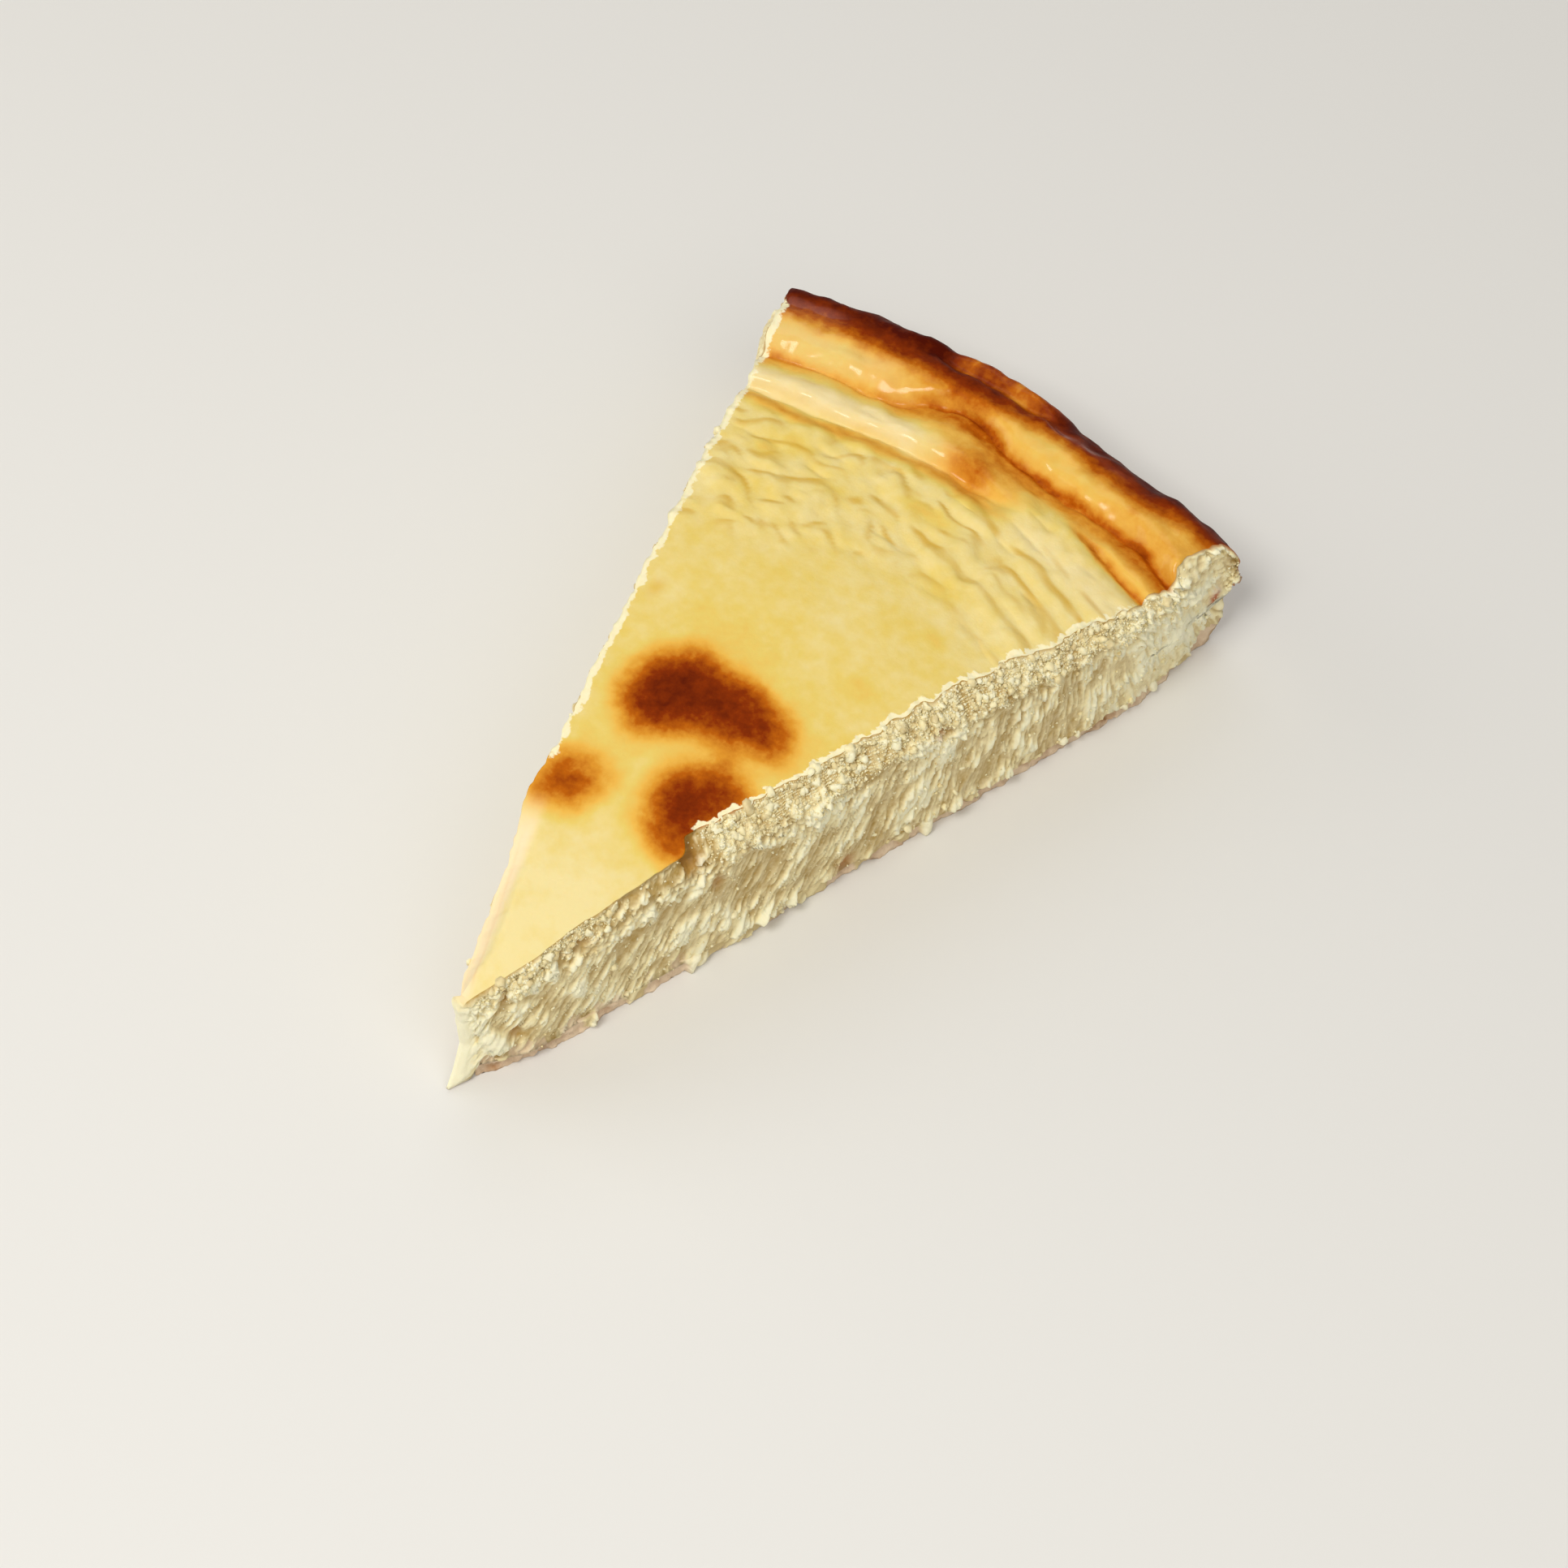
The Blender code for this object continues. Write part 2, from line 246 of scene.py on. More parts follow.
# Rows of points across, along and up each piece
FILLING_COLUMNS = 96
FILLING_STATIONS = np.concatenate(
    [
        np.linspace(TIP_RADIUS, WRINKLE_BAND[0] - 8.0, 300, endpoint=False),
        np.linspace(WRINKLE_BAND[0] - 8.0, SHOULDER_START, 190, endpoint=False),
        SHOULDER_START + (RIM_RADIUS - SHOULDER_START) * np.sin(np.linspace(0.0, math.pi / 2.0, 46)),
    ]
)
FILLING_LEVELS = np.concatenate(
    [np.linspace(0.0, LEDGE_LEVEL, 34), np.linspace(LEDGE_LEVEL + 0.012, 1.0, 62)]
)
PASTRY_COLUMNS = 24
PASTRY_LEVELS = np.linspace(0.0, 1.0, 13)
PASTRY_STATIONS = np.concatenate(
    [
        np.linspace(PASTRY_TIP, CORNER_START, 380, endpoint=False),
        np.linspace(CORNER_START, RIM_RADIUS, 16, endpoint=False),
        np.linspace(RIM_RADIUS, RIM_RADIUS + WALL_HEIGHT - OUTER_CORNER, 16),
    ]
)

# Fine relief of the skin, and its frayed edge over the front cut: waves are heights and sizes
NEAR_RIM = (100.0, 114.0)
SKIN_SWELL = (0.25, 7.0)
SKIN_SWELL_LEAST = 0.3
RIM_DIMPLES = (0.42, 3.8)
SKIN_GRAIN = (0.03, 1.2)
FRAYED_BAND = ((39.0, 42.0), (104.0, 120.0))
FRAYED_WIDTH = (0.3, 1.0)
FRAYED_SWAY = (0.8, 1.3)

# Fine relief of the cuts: curds under the skin, and drawn flecks and grooves below them
CURD_SIZES = ((1.6, 2.0, 1.15), (0.95, 1.1, 0.9), (0.55, 0.6, 0.4))
CURD_BAND = (5.0, 9.5)
CURD_BAND_SWAY = (2.5, 4.0)
FLECK_SIZES = ((1.0, 4.6, 0.6), (0.55, 2.4, 0.3))
FLECK_TAPER = 0.6
FLECK_REACH = 0.6
FLECK_TOE = -0.3
GROOVE_SIZE = (1.2, 10.0)
GROOVE_RISE = 0.45
GROOVE_SHARPNESS = 2.2
BELOW_SKIN = (-0.3, 0.6)
CALM_SIZE = 6.0
CALM_PLACES = (-0.35, 0.2)
CALM_LEAST = 0.35
STREAK_LEAN = ((10.0, 60.0, 95.0, 122.0), (0.62, 0.45, 0.1, -0.5))
FINGER_SIZE = (1.5, 6.0)
FINGER_RISE = 1.0
FINGER_BAND = ((32.0, 38.0), (58.0, 66.0))
FINGER_FADE = (4.0, 8.5)
TORN_WIDTH = 2.0
SET_IN_BAND = (0.5, 4.0)
EDGE_WOBBLE = 0.5
EDGE_WOBBLE_LENGTH = 2.4
EDGE_WOBBLE_DEPTH = 2.0
SHORT_WOBBLE = 0.55
CALM_EDGE = 0.25
LEFT_WOBBLE = 0.5

TEAR_BAND = (37.0, 43.0)

# The pale strip of filling where the two cuts meet at the tip: heights, and the radius of its edge there
TIP_STRIP_EDGE = ((0.0, 4.8, 5.6, 9.0, 13.0, 18.5), (4.4, 5.0, 8.9, 8.3, 6.4, 8.6))
TIP_STRIP_SWAY = (0.5, 0.9)
TIP_STRIP_SOFTNESS = 0.3
TIP_STRIP_RISE = 0.7
# The strip is whitest up to these radii, partly as painted light on the tip
TIP_STRIP_WHITE = (2.2, 3.8)
TIP_WHITE_CALM = 0.8
TIP_RIB_SIZE = (1.3, 7.0)

# The end of the slice lies back above its foot, which juts out like a beak: heights, and how far it lies back
TIP_SWEEP = ((0.0, 3.0, 8.0, 14.0, 18.0), (-1.2, 0.5, 2.4, 2.1, 0.8))
TIP_SWEEP_LENGTH = 7.0
TIP_RIBS = 0.5


class Spot(NamedTuple):
    """A soft round spot: its middle, its half width along both axes, and its strength."""

    x: float
    y: float
    half_x: float
    half_y: float
    strength: float

    def share(self, x, y):
        """1 in the middle, falling smoothly to 0."""
        return hill(x - self.x, self.half_x) * hill(y - self.y, self.half_y)


def spots(*rows):
    return [Spot(*row) for row in rows]


# Smears and, with a negative strength, hollows on the front cut, at a radius and a height
PATCHES = spots(
    (19.5, 21.8, 2.6, 1.0, -1.0), (38.4, 26.0, 1.6, 1.8, -1.0), (42.0, 18.6, 1.1, 1.8, -0.8),
    (78.6, 24.2, 1.3, 1.0, -1.2), (60.5, 22.5, 1.6, 1.2, -0.6), (8.8, 18.6, 0.8, 1.4, -0.7),
    (10.2, 8.0, 0.8, 2.2, -0.7), (7.2, 7.6, 1.5, 2.2, 0.8), (14.5, 22.3, 1.8, 0.7, 0.7),
    (19.0, 12.5, 0.8, 1.6, 0.5), (57.0, 23.8, 1.7, 1.3, 0.7), (79.3, 20.0, 1.3, 2.2, 0.6),
    (122.5, 11.5, 3.0, 2.6, 0.9), (125.0, 18.5, 2.4, 1.3, 0.8), (111.0, 22.5, 2.4, 1.4, 0.6),
    (105.5, 10.5, 1.0, 3.0, 0.6), (119.5, 23.0, 1.8, 1.0, 0.5), (63.4, 4.4, 1.3, 1.8, -0.9),
)

# Where the knife dragged filling down over the pastry at the front cut: radius, lower end and width
SMEARS = (
    ((8.0, 2.6, 1.4), (15.5, 1.8, 1.6), (21.0, 1.0, 1.6), (28.6, 0.2, 2.6), (32.8, 1.9, 2.6))
    + ((39.8, 0.2, 5.6), (46.6, 0.2, 7.2), (51.6, 0.5, 2.4), (57.2, 0.2, 6.8), (67.0, 0.6, 2.6))
    + ((73.6, 0.6, 1.9), (77.8, 0.3, 2.1), (81.5, 2.2, 2.4), (85.6, 1.6, 1.8), (91.0, 2.0, 4.0))
    + ((97.5, 1.6, 3.0), (104.0, 2.2, 6.0), (112.0, 1.8, 5.0), (123.0, 0.8, 9.0), (130.5, 4.8, 5.5))
)
SMEAR_STEEPNESS = 2.0
SMEAR_WIDENING = 0.25
SMEAR_SOFTNESS = 0.25
SMEAR_RAGGED = (0.7, 1.3)
SMEAR_RAGGED_STRETCH = 3.0

# Brown on the front cut, at a radius and a height: a browned spot near the rim, and painted shade in the
# hollows and the tear
BROWN_AND_SHADE_SPOTS = spots(
    (130.4, 12.9, 0.9, 2.2, 1.0), (38.6, 25.6, 1.5, 2.4, 0.25), (78.6, 24.2, 1.2, 0.8, 0.45),
    (63.4, 4.4, 1.3, 1.9, 0.5), (42.0, 18.4, 0.8, 1.6, 0.25), (19.5, 21.9, 2.4, 0.8, 0.25),
    (10.0, 8.4, 0.7, 1.6, 0.25), (8.8, 18.4, 0.6, 1.4, 0.2),
)

# Browned spots of the skin, across and along from the cake's centre
BROWN_SPOTS = spots(
    (-5.4, 54.2, 6.8, 8.4, 0.97), (1.2, 56.6, 8.0, 6.0, 0.95), (7.4, 57.0, 5.8, 4.9, 0.85),
    (11.6, 55.2, 3.8, 3.0, 0.5), (8.0, 40.8, 6.4, 7.0, 0.93), (11.6, 45.2, 4.8, 4.0, 0.85),
    (11.3, 35.4, 4.2, 3.4, 0.55), (-6.8, 35.2, 5.2, 5.4, 0.74), (-9.6, 31.5, 2.2, 3.4, 0.5),
    (7.8, 49.6, 2.8, 2.6, 0.36), (14.6, 70.0, 2.4, 1.8, 0.14), (1.0, 72.0, 3.4, 1.8, 0.06),
    (12.5, 91.6, 4.2, 2.2, 0.14), (17.2, 83.6, 2.4, 1.4, 0.2), (3.7, 87.9, 4.4, 1.8, 0.1),
    (-19.7, 88.6, 4.6, 2.8, 0.12), (-22.0, 96.9, 2.0, 1.2, 0.3), (-19.3, 100.1, 2.4, 1.2, 0.28),
    (3.0, 101.5, 2.6, 0.9, 0.34), (-10.5, 97.0, 3.6, 1.6, 0.12), (2.0, 113.5, 2.4, 1.6, 0.35),
)
SPOT_HALO = 0.07
BROWN_SWAY = (0.8, 6.0)

# How much the folds are browned, and how strong the outer valley's colour and painted shade are: angles, and
# the browning or the radius there
INNER_RIDGE_GOLD = ((-17.0, -4.0, 0.0, 2.0, 4.0, 8.0, 17.0), (0.03, 0.03, 0.24, 0.34, 0.24, 0.08, 0.05))
OUTER_RIDGE_GOLD = (
    (-17.0, -12.0, -9.0, -6.0, -3.0, 0.0, 3.0, 9.0, 12.0, 17.0),
    (0.16, 0.13, 0.19, 0.23, 0.25, 0.23, 0.17, 0.17, 0.23, 0.25),
)
OUTER_VALLEY_TINT = (
    (-17.0, -12.0, -8.0, -4.0, -1.0, 3.0, 6.0, 11.0, 14.0),
    (0.26, 0.12, 0.08, 0.22, 0.4, 0.36, 0.36, 0.26, 0.32),
)
DARK_FROM = (
    (-16.0, -12.0, -8.0, -5.0, -2.0, 0.0, 3.0, 9.0, 12.0, 14.0, 17.0),
    (125.2, 124.9, 124.6, 124.2, 124.6, 125.0, 125.5, 125.4, 125.6, 127.6, 129.0),
)

# The dark rim deepens in two steps: browning, and its start and end past DARK_FROM
DARK_STEPS = ((0.42, -3.4, 1.6), (0.3, 0.0, 5.0))

# Darker colour in a crease and painted shade on the slope before it, which faces the rim: strength, distance
# before it, and width
OUTER_VALLEY_SHADES = ((0.75, 0.0, 0.65), (0.55, 1.6, 1.7))
INNER_VALLEY_SHADES = ((0.23, 2.1, 1.7),)
SHORT_CREASE_SHADES = ((0.34, 0.0, 0.7),)

# Painted golden highlights, as streaks down the paler lobe: angle, width and strength, and how they sway
LOBE_HIGHLIGHTS = ((-3.9, 0.5, 0.16), (-0.4, 0.8, 0.2))
LOBE_STREAK_SIZE = (2.0, 4.0)

# Golden marks of the skin besides the painted shade of its pads. The droop's edge is drawn by radii, and the
# distances from the left cut there
DROOP_LINE = ((5.0, 22.0, 30.0), (2.2, 1.1, 0.6))
GOLDEN_FLAP = Spot(-17.6, 66.5, 1.1, 1.8, 0.7)

# Painted sheen on the ridges, in the peach colour: each lies between radii, and sets in from one angle to the
# other
RIDGE_SHEEN = (
    (0.3, (109.0, 111.0), (113.0, 115.5), (1.0, -4.0)),
    (0.12, (117.5, 119.0), (121.0, 123.5), (-5.0, -9.0)),
    (0.12, (106.0, 108.0), (111.0, 113.0), (5.0, 8.0)),
)

# How much paler or darker the parts of the cuts are painted, with painted shade in hollows, under the skin's
# edge and in the tear, and painted light on the curds
CUT_CONTRAST = 1.2
CUT_MIDDLE = 0.45
CUT_LEAST = 0.1
PALE_LEAST = 0.02
PALE_CURDS = 1.05
PALE_CRUMBLY = 0.2
PALE_SMEARS = 0.9
PALE_BELOW = 0.1
PALE_FINGERS = 0.9
PALE_LEFT = 0.4
PALE_LEFT_TIP = 0.1
PALE_RIM = 0.26
PALE_STRIP = 0.35
STRIP_WHITE_AND_LIGHT = 0.65
PAINTED_SHADE_IN_HOLLOWS = 0.5
PAINTED_SHADE_UNDER_SKIN = 0.06
PAINTED_SHADE_IN_TEAR = 0.3


def smooth_noise(x, y, seed):
    """Smooth random hills and hollows from -1 to 1, one unit apart."""
    table = np.random.default_rng(seed).uniform(-1.0, 1.0, (NOISE_TABLE, NOISE_TABLE))
    column = np.floor(x).astype(int)
    row = np.floor(y).astype(int)
    across = ramp(x - column, 0.0, 1.0)
    up = ramp(y - row, 0.0, 1.0)

    def corner(i, j):
        return table[(column + i) % NOISE_TABLE, (row + j) % NOISE_TABLE]

    low = corner(0, 0) * (1.0 - across) + corner(1, 0) * across
    high = corner(0, 1) * (1.0 - across) + corner(1, 1) * across
    return low * (1.0 - up) + high * up


def ramp(x, start, end):
    """0 before start, 1 after end, and smooth between."""
    share = np.clip((x - start) / (end - start), 0.0, 1.0)
    return share * share * (3.0 - 2.0 * share)


def fade(x, band):
    """1 before the band, 0 after it, and smooth between."""
    return 1.0 - ramp(x, *band)


def at_least(least, share):
    """Share from least to 1 instead of from 0 to 1."""
    return least + (1.0 - least) * share


def plateau(x, rise, fall):
    """0 before the rise, 1 between rise and fall, and 0 again after the fall."""
    return ramp(x, *rise) * fade(x, fall)


def hill(distance, width):
    """1 at no distance, falling smoothly to 0 over about two widths."""
    return np.exp(-((distance / width) ** 2))


def fractal(points, size, octaves, shift=0.0):
    """Cloudy noise from about -1 to 1 at each point."""
    scaled = points / size + shift
    return np.array([noise.fractal(Vector(p), 1.0, 2.0, octaves) for p in scaled])


def waves(points, shape, octaves, shift=0.0):
    """Cloudy noise of that height and size."""
    height, size = shape
    return height * fractal(points, size, octaves, shift)


def crease_line(crease, angle):
    """Radius of a crease at an angle, with its corners rounded."""
    turns = (-LINE_BLUR, 0.0, LINE_BLUR)
    return sum(np.interp(angle + turn, crease.angles, crease.radii) for turn in turns) / len(turns)


def fold_span(fold, angle):
    """1 between the ends of a fold or crease, fading to 0 past them."""
    rise, fall = ((end - FOLD_FADE, end + FOLD_FADE) for end in (fold.start, fold.end))
    return plateau(angle, rise, fall)


def fold_height(fold, radius, angle):
    """What a straight fold adds to the skin's height."""
    return fold.rise * hill(radius - fold.radius, fold.width) * fold_span(fold, angle)


def crease_height(crease, radius, angle):
    """What a winding crease adds to the skin's height."""
    away = radius - crease_line(crease, angle)
    width = crease.width * np.where(away < 0.0, NEAR_SIDE, FAR_SIDE)
    depth = crease.rise * hill(away, width) + SHARP_CREASE * hill(away, SHARP_CREASE_WIDTH)
    return depth * fold_span(crease, angle)


def wrinkles(radius, angle):
    """Narrow creases between low pads, drawn out along the rim: 1 in a crease."""
    arc = np.radians(angle) * BAND_RADIUS
    pads = smooth_noise(arc / WRINKLE_LENGTH, (radius + WRINKLE_SLANT * arc) / WRINKLE_PITCH, seed=31)
    length, width = WRINKLE_PATCH_SIZE
    patches = ramp(smooth_noise(arc / length, radius / width, seed=33), *WRINKLE_PATCHES)
    return patches * (1.0 - np.abs(pads)) ** 2 * plateau(radius, WRINKLE_BAND, WRINKLE_FADE)


def skin_pads(radius, angle):
    """Height of the small pads of skin along the rim, and the shade on their far slopes, from 0 to 1."""
    arc = np.radians(angle) * BAND_RADIUS
    flat = 0.0 * arc
    plan = np.stack([arc, radius, flat], axis=-1)
    pleated = ramp(angle, *PLEAT_ANGLES)
    swayed = radius + WRINKLE_SLANT * arc
    swayed += (1.0 - PLEAT_CALM * pleated) * waves(plan, PAD_SWAY, 1, 70.0)

    def height(shift):
        total = np.zeros_like(arc)
        for number, (length, pitch, rise) in enumerate(PAD_SIZES):
            along = arc / (length * (1.0 + PLEAT_STRETCH * pleated))
            place = np.stack([along, (swayed + shift) / pitch, flat + 30.0 * number], axis=-1)
            total += rise * np.sqrt(fractal(place, 1.0, 1) ** 2 + PAD_SOFTNESS**2)
        return total

    patches = ramp(fractal(plan, PAD_PATCH_SIZE, 1, 9.0) + PLEAT_FILL * pleated, *PAD_PATCHES)
    start = np.interp(angle, *PAD_FROM)
    strength = at_least(PAD_LEAST, patches) * ramp(radius, start - PAD_EDGE, start + PAD_EDGE)
    strength *= fade(radius, PAD_FADE)
    slope = (height(-PAD_SLOPE_STEP) - height(PAD_SLOPE_STEP)) / (2.0 * PAD_SLOPE_STEP)
    pads = height(0.0)
    shade = ramp(slope, *PAD_SHADE_SLOPE) * (1.0 - PAD_TOP_LIGHT * ramp(pads, *PAD_SHADE_RISE))
    return strength * (pads - PAD_SINK), strength * shade


def skin_height(radius, angle):
    """Height of the skin above the resting plane."""
    height = BODY_HEIGHT - TIP_DROP * np.exp(-radius / TIP_DROP_LENGTH)
    height -= RIM_SINK * ramp(radius, *RIM_SINK_BAND)
    for crease in (OUTER_VALLEY, INNER_VALLEY, SHORT_CREASE):
        height += crease_height(crease, radius, angle)
    height += sum(fold_height(fold, radius, angle) for fold in (RIDGE, LOBE_GROOVE, LOBE))
    height += RIM_SWELL * hill(radius - RIM_SWELL_RADIUS, RIM_SWELL_WIDTH) * np.interp(angle, *RIM_SWELL_AT)
    height -= WRINKLE_DEPTH * wrinkles(radius, angle)
    half_width = np.radians(HALF_ANGLE) * radius
    from_left = np.radians(angle + HALF_ANGLE) * radius
    droop = DROOP * (1.0 - ramp(from_left, 0.0, np.minimum(DROOP_WIDTH, half_width)))
    height -= droop * fade(radius, DROOP_BAND)
    past = np.clip((radius - SHOULDER_START) / (RIM_RADIUS - SHOULDER_START), 0.0, 1.0)
    return height - SHOULDER_DROP * (1.0 - np.sqrt(1.0 - past**2))


def cut_relief(radius, height, depth, seed):
    """Broken lumps in a band under the skin, and furrows that the knife drew down the cut below them."""
    lumps = CRUMB_RELIEF * smooth_noise(radius / CRUMB_SIZE, depth / CRUMB_SIZE, seed)
    lumps *= ramp(depth, 0.0, CRUMB_BAND / 2.0) * (1.0 - ramp(depth, CRUMB_BAND, 2.0 * CRUMB_BAND))
    along = (radius - FURROW_LEAN * height) / FURROW_PITCH
    furrows = FURROW_RELIEF * smooth_noise(along, height / FURROW_LENGTH, seed + 1)
    furrows *= ramp(depth, *FURROW_BAND)
    return (lumps + furrows) * ramp(radius, *CUT_RELIEF_BAND)


def foot_bow(radius):
    """How far the foot of the front cut stands out from a true wedge."""
    return FOOT_BOW * plateau(radius, FOOT_BOW_BAND, FOOT_BOW_FADE)


def edge_wobble(radius, depth, seed):
    """Uneven line of the skin's edge."""
    long_waves = smooth_noise(radius / EDGE_WOBBLE_LENGTH, 0.0 * radius, seed)
    short_waves = smooth_noise(radius / EDGE_WOBBLE_LENGTH * 3.0, 0.0 * radius, seed + 1)
    near_edge = fade(depth, (0.0, EDGE_WOBBLE_DEPTH)) * ramp(radius, *CUT_RELIEF_BAND)
    return EDGE_WOBBLE * (long_waves + SHORT_WOBBLE * short_waves) * near_edge


def front_offset(radius, height, depth):
    """How far the front cut stands out from a true wedge. Depth is measured down from the skin."""
    set_back = EDGE_SET_BACK * plateau(radius, EDGE_BAND, EDGE_FADE)
    set_back += BEVEL * plateau(radius, BEVEL_BAND, BEVEL_FADE)
    set_back *= 1.0 - ramp(depth, 0.0, CRUMB_BAND)
    tear_width = np.where(radius < TEAR_RADIUS, TEAR_NEAR_WIDTH, TEAR_WIDTH)
    tear = TEAR * hill(radius - TEAR_RADIUS, tear_width) * hill(depth, TEAR_HEIGHT)
    wobble = edge_wobble(radius, depth, seed=61)
    wobble *= at_least(CALM_EDGE, ramp(radius, *BEVEL_BAND))
    return foot_bow(radius) - set_back - tear + wobble + cut_relief(radius, height, depth, seed=11)


def left_offset(radius, height, depth):
    """How far the left cut stands out from a true wedge."""
    bow = LEFT_BOW * ramp(radius, *LEFT_BOW_BAND) * ramp(depth, 0.0, CRUMB_BAND)
    flap = FLAP * hill(radius - FLAP_RADIUS, FLAP_WIDTH) * hill(depth, CRUMB_BAND)
    lump = LUMP * hill(radius - LUMP_RADIUS, LUMP_WIDTH) * hill(depth - LUMP_DEPTH, CRUMB_BAND)
    wobble = LEFT_WOBBLE * edge_wobble(radius, depth, seed=63)
    return bow + flap + lump + wobble + cut_relief(radius, height, depth, seed=21)


def rim_radius(level, height, angle):
    """Radius of the filling's outer end: inside the pastry wall up to the ledge, and out over it above."""
    inside = WALL_INSIDE - GAP - INNER_CORNER * (1.0 - np.clip(level / CORNER_LEVEL, 0.0, 1.0))
    bulge = RIM_BULGE * hill(height - RIM_BULGE_HEIGHT, RIM_BULGE_WIDTH)
    arc = np.radians(angle) * RIM_RADIUS
    uneven = RIM_RELIEF * smooth_noise(arc / RIM_RELIEF_SIZE, height / RIM_RELIEF_SIZE, seed=51)
    dent = DENT * hill(angle - DENT_ANGLE, DENT_SPREAD) * ramp(height, *DENT_HEIGHT)
    return np.where(level <= LEDGE_LEVEL, inside, RIM_RADIUS + bulge + uneven - dent)


def place_filling(across, station, level):
    """Radius, angle and height of the filling's lattice points. across and level run from 0 to 1."""
    angle = (2.0 * across - 1.0) * HALF_ANGLE
    lean = TIP_LEAN * (1.0 - ramp(station, TIP_RADIUS, TIP_LENGTH))
    top = skin_height(station + lean, angle)
    floor = TIP_FOOT + (FLOOR - TIP_FOOT) * ramp(station, *TIP_FOOT_BAND)
    below_ledge = floor + level / LEDGE_LEVEL * (LEDGE_HEIGHT - floor)
    above_ledge = LEDGE_HEIGHT + (level - LEDGE_LEVEL) / (1.0 - LEDGE_LEVEL) * (top - LEDGE_HEIGHT)
    height = np.where(level <= LEDGE_LEVEL, below_ledge, above_ledge)
    bent = np.clip((station - BENT_FROM) / (RIM_RADIUS - BENT_FROM), 0.0, 1.0)
    radius = station + lean * level + bent * (rim_radius(level, height, angle) - RIM_RADIUS)
    left = -HALF_ANGLE - np.degrees(left_offset(radius, height, top - height) / radius)
    front = HALF_ANGLE + np.degrees(front_offset(radius, height, top - height) / radius)
    return radius, left + across * (front - left), height


def place_pastry(across, station, level):
    """Radius, angle and height of the pastry's lattice points. The sheet bends up past CORNER_START."""
    past = np.maximum(station - CORNER_START, 0.0)
    bend = np.clip(past / OUTER_CORNER, 0.0, 1.0)
    rise = np.maximum(past - OUTER_CORNER, 0.0)
    outer_radius = np.minimum(station, CORNER_START) + OUTER_CORNER * np.sin(bend * math.pi / 2.0)
    outer_height = OUTER_CORNER * (1.0 - np.cos(bend * math.pi / 2.0)) + rise
    inner_start = WALL_INSIDE - INNER_CORNER
    inner_radius = np.minimum(station / CORNER_START, 1.0) * inner_start + bend * INNER_CORNER
    inner_rise = (WALL_HEIGHT - BASE_THICKNESS - INNER_CORNER) / (WALL_HEIGHT - OUTER_CORNER)
    inner_height = BASE_THICKNESS + bend * INNER_CORNER + rise * inner_rise
    radius = outer_radius + level * (inner_radius - outer_radius)
    height = outer_height + level * (inner_height - outer_height)

    def edge(seed):
        uneven = smooth_noise(station / PASTRY_UNEVEN_LENGTH, level * PASTRY_UNEVEN_LEVELS, seed)
        return (PASTRY_INSET + PASTRY_UNEVEN * uneven) / radius

    left = -HALF_ANGLE + np.degrees(edge(seed=41))
    front = HALF_ANGLE + np.degrees(foot_bow(station) / radius - edge(seed=42))
    return radius, left + across * (front - left), height


def lattice_shell(columns, rows, levels):
    """Places of all lattice points on the surface of a box of cells, and the outward quads over them."""
    i, j, k = np.meshgrid(np.arange(columns), np.arange(rows), np.arange(levels), indexing="ij")
    ends = (i == 0) | (i == columns - 1) | (j == 0) | (j == rows - 1)
    outside = ends | (k == 0) | (k == levels - 1)
    number = np.full(outside.shape, -1)
    number[outside] = np.arange(outside.sum())

    def quads(sheet, turned):
        corners = np.stack([sheet[:-1, :-1], sheet[1:, :-1], sheet[1:, 1:], sheet[:-1, 1:]], axis=-1)
        corners = corners.reshape(-1, 4)
        return corners[:, ::-1] if turned else corners

    sheets = [
        quads(number[:, :, -1], turned=False),
        quads(number[:, :, 0], turned=True),
        quads(number[-1, :, :], turned=False),
        quads(number[0, :, :], turned=True),
        quads(number[:, 0, :], turned=False),
        quads(number[:, -1, :], turned=True),
    ]
    return i[outside], j[outside], k[outside], sheets


TOP_SHEET = 0
RIM_SHEET = 5


def to_slice(radius, angle, height):
    """Points in the part's frame, still in millimetres."""
    across = radius * np.sin(np.radians(angle)) - CENTRE_ACROSS
    along = radius * np.cos(np.radians(angle)) - CENTRE_ALONG
    return np.stack([across, along, height + 0.0 * radius], axis=-1)


def from_slice(points):
    """Across and along from the cake's centre, and the radius and angle there."""
    across = points[:, 0] + CENTRE_ACROSS
    along = points[:, 1] + CENTRE_ALONG
    return across, along, np.hypot(across, along), np.degrees(np.arctan2(across, along))


def new_piece(name, points, faces):
    """A smooth mesh piece that rides on the part's one body."""
    mesh = bpy.data.meshes.new(name)
    mesh.from_pydata((points * MM).tolist(), [], faces if isinstance(faces, list) else faces.tolist())
    mesh.shade_smooth()
    mesh.update()
    piece = bpy.data.objects.new(name, mesh)
    bpy.context.scene.collection.objects.link(piece)
    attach(piece, "root")
    return piece


def vertex_normals(points, faces):
    """Outward normals of a mesh before it gets its relief."""
    mesh = bpy.data.meshes.new("scratch")
    mesh.from_pydata(points.tolist(), [], faces.tolist())
    normals = np.zeros(len(points) * 3)
    mesh.vertex_normals.foreach_get("vector", normals)
    bpy.data.meshes.remove(mesh)
    return normals.reshape(-1, 3)


def give_attribute(piece, name, values):
    attribute = piece.data.attributes.new(name, "FLOAT", "POINT")
    attribute.data.foreach_set("value", values.astype(np.float32))


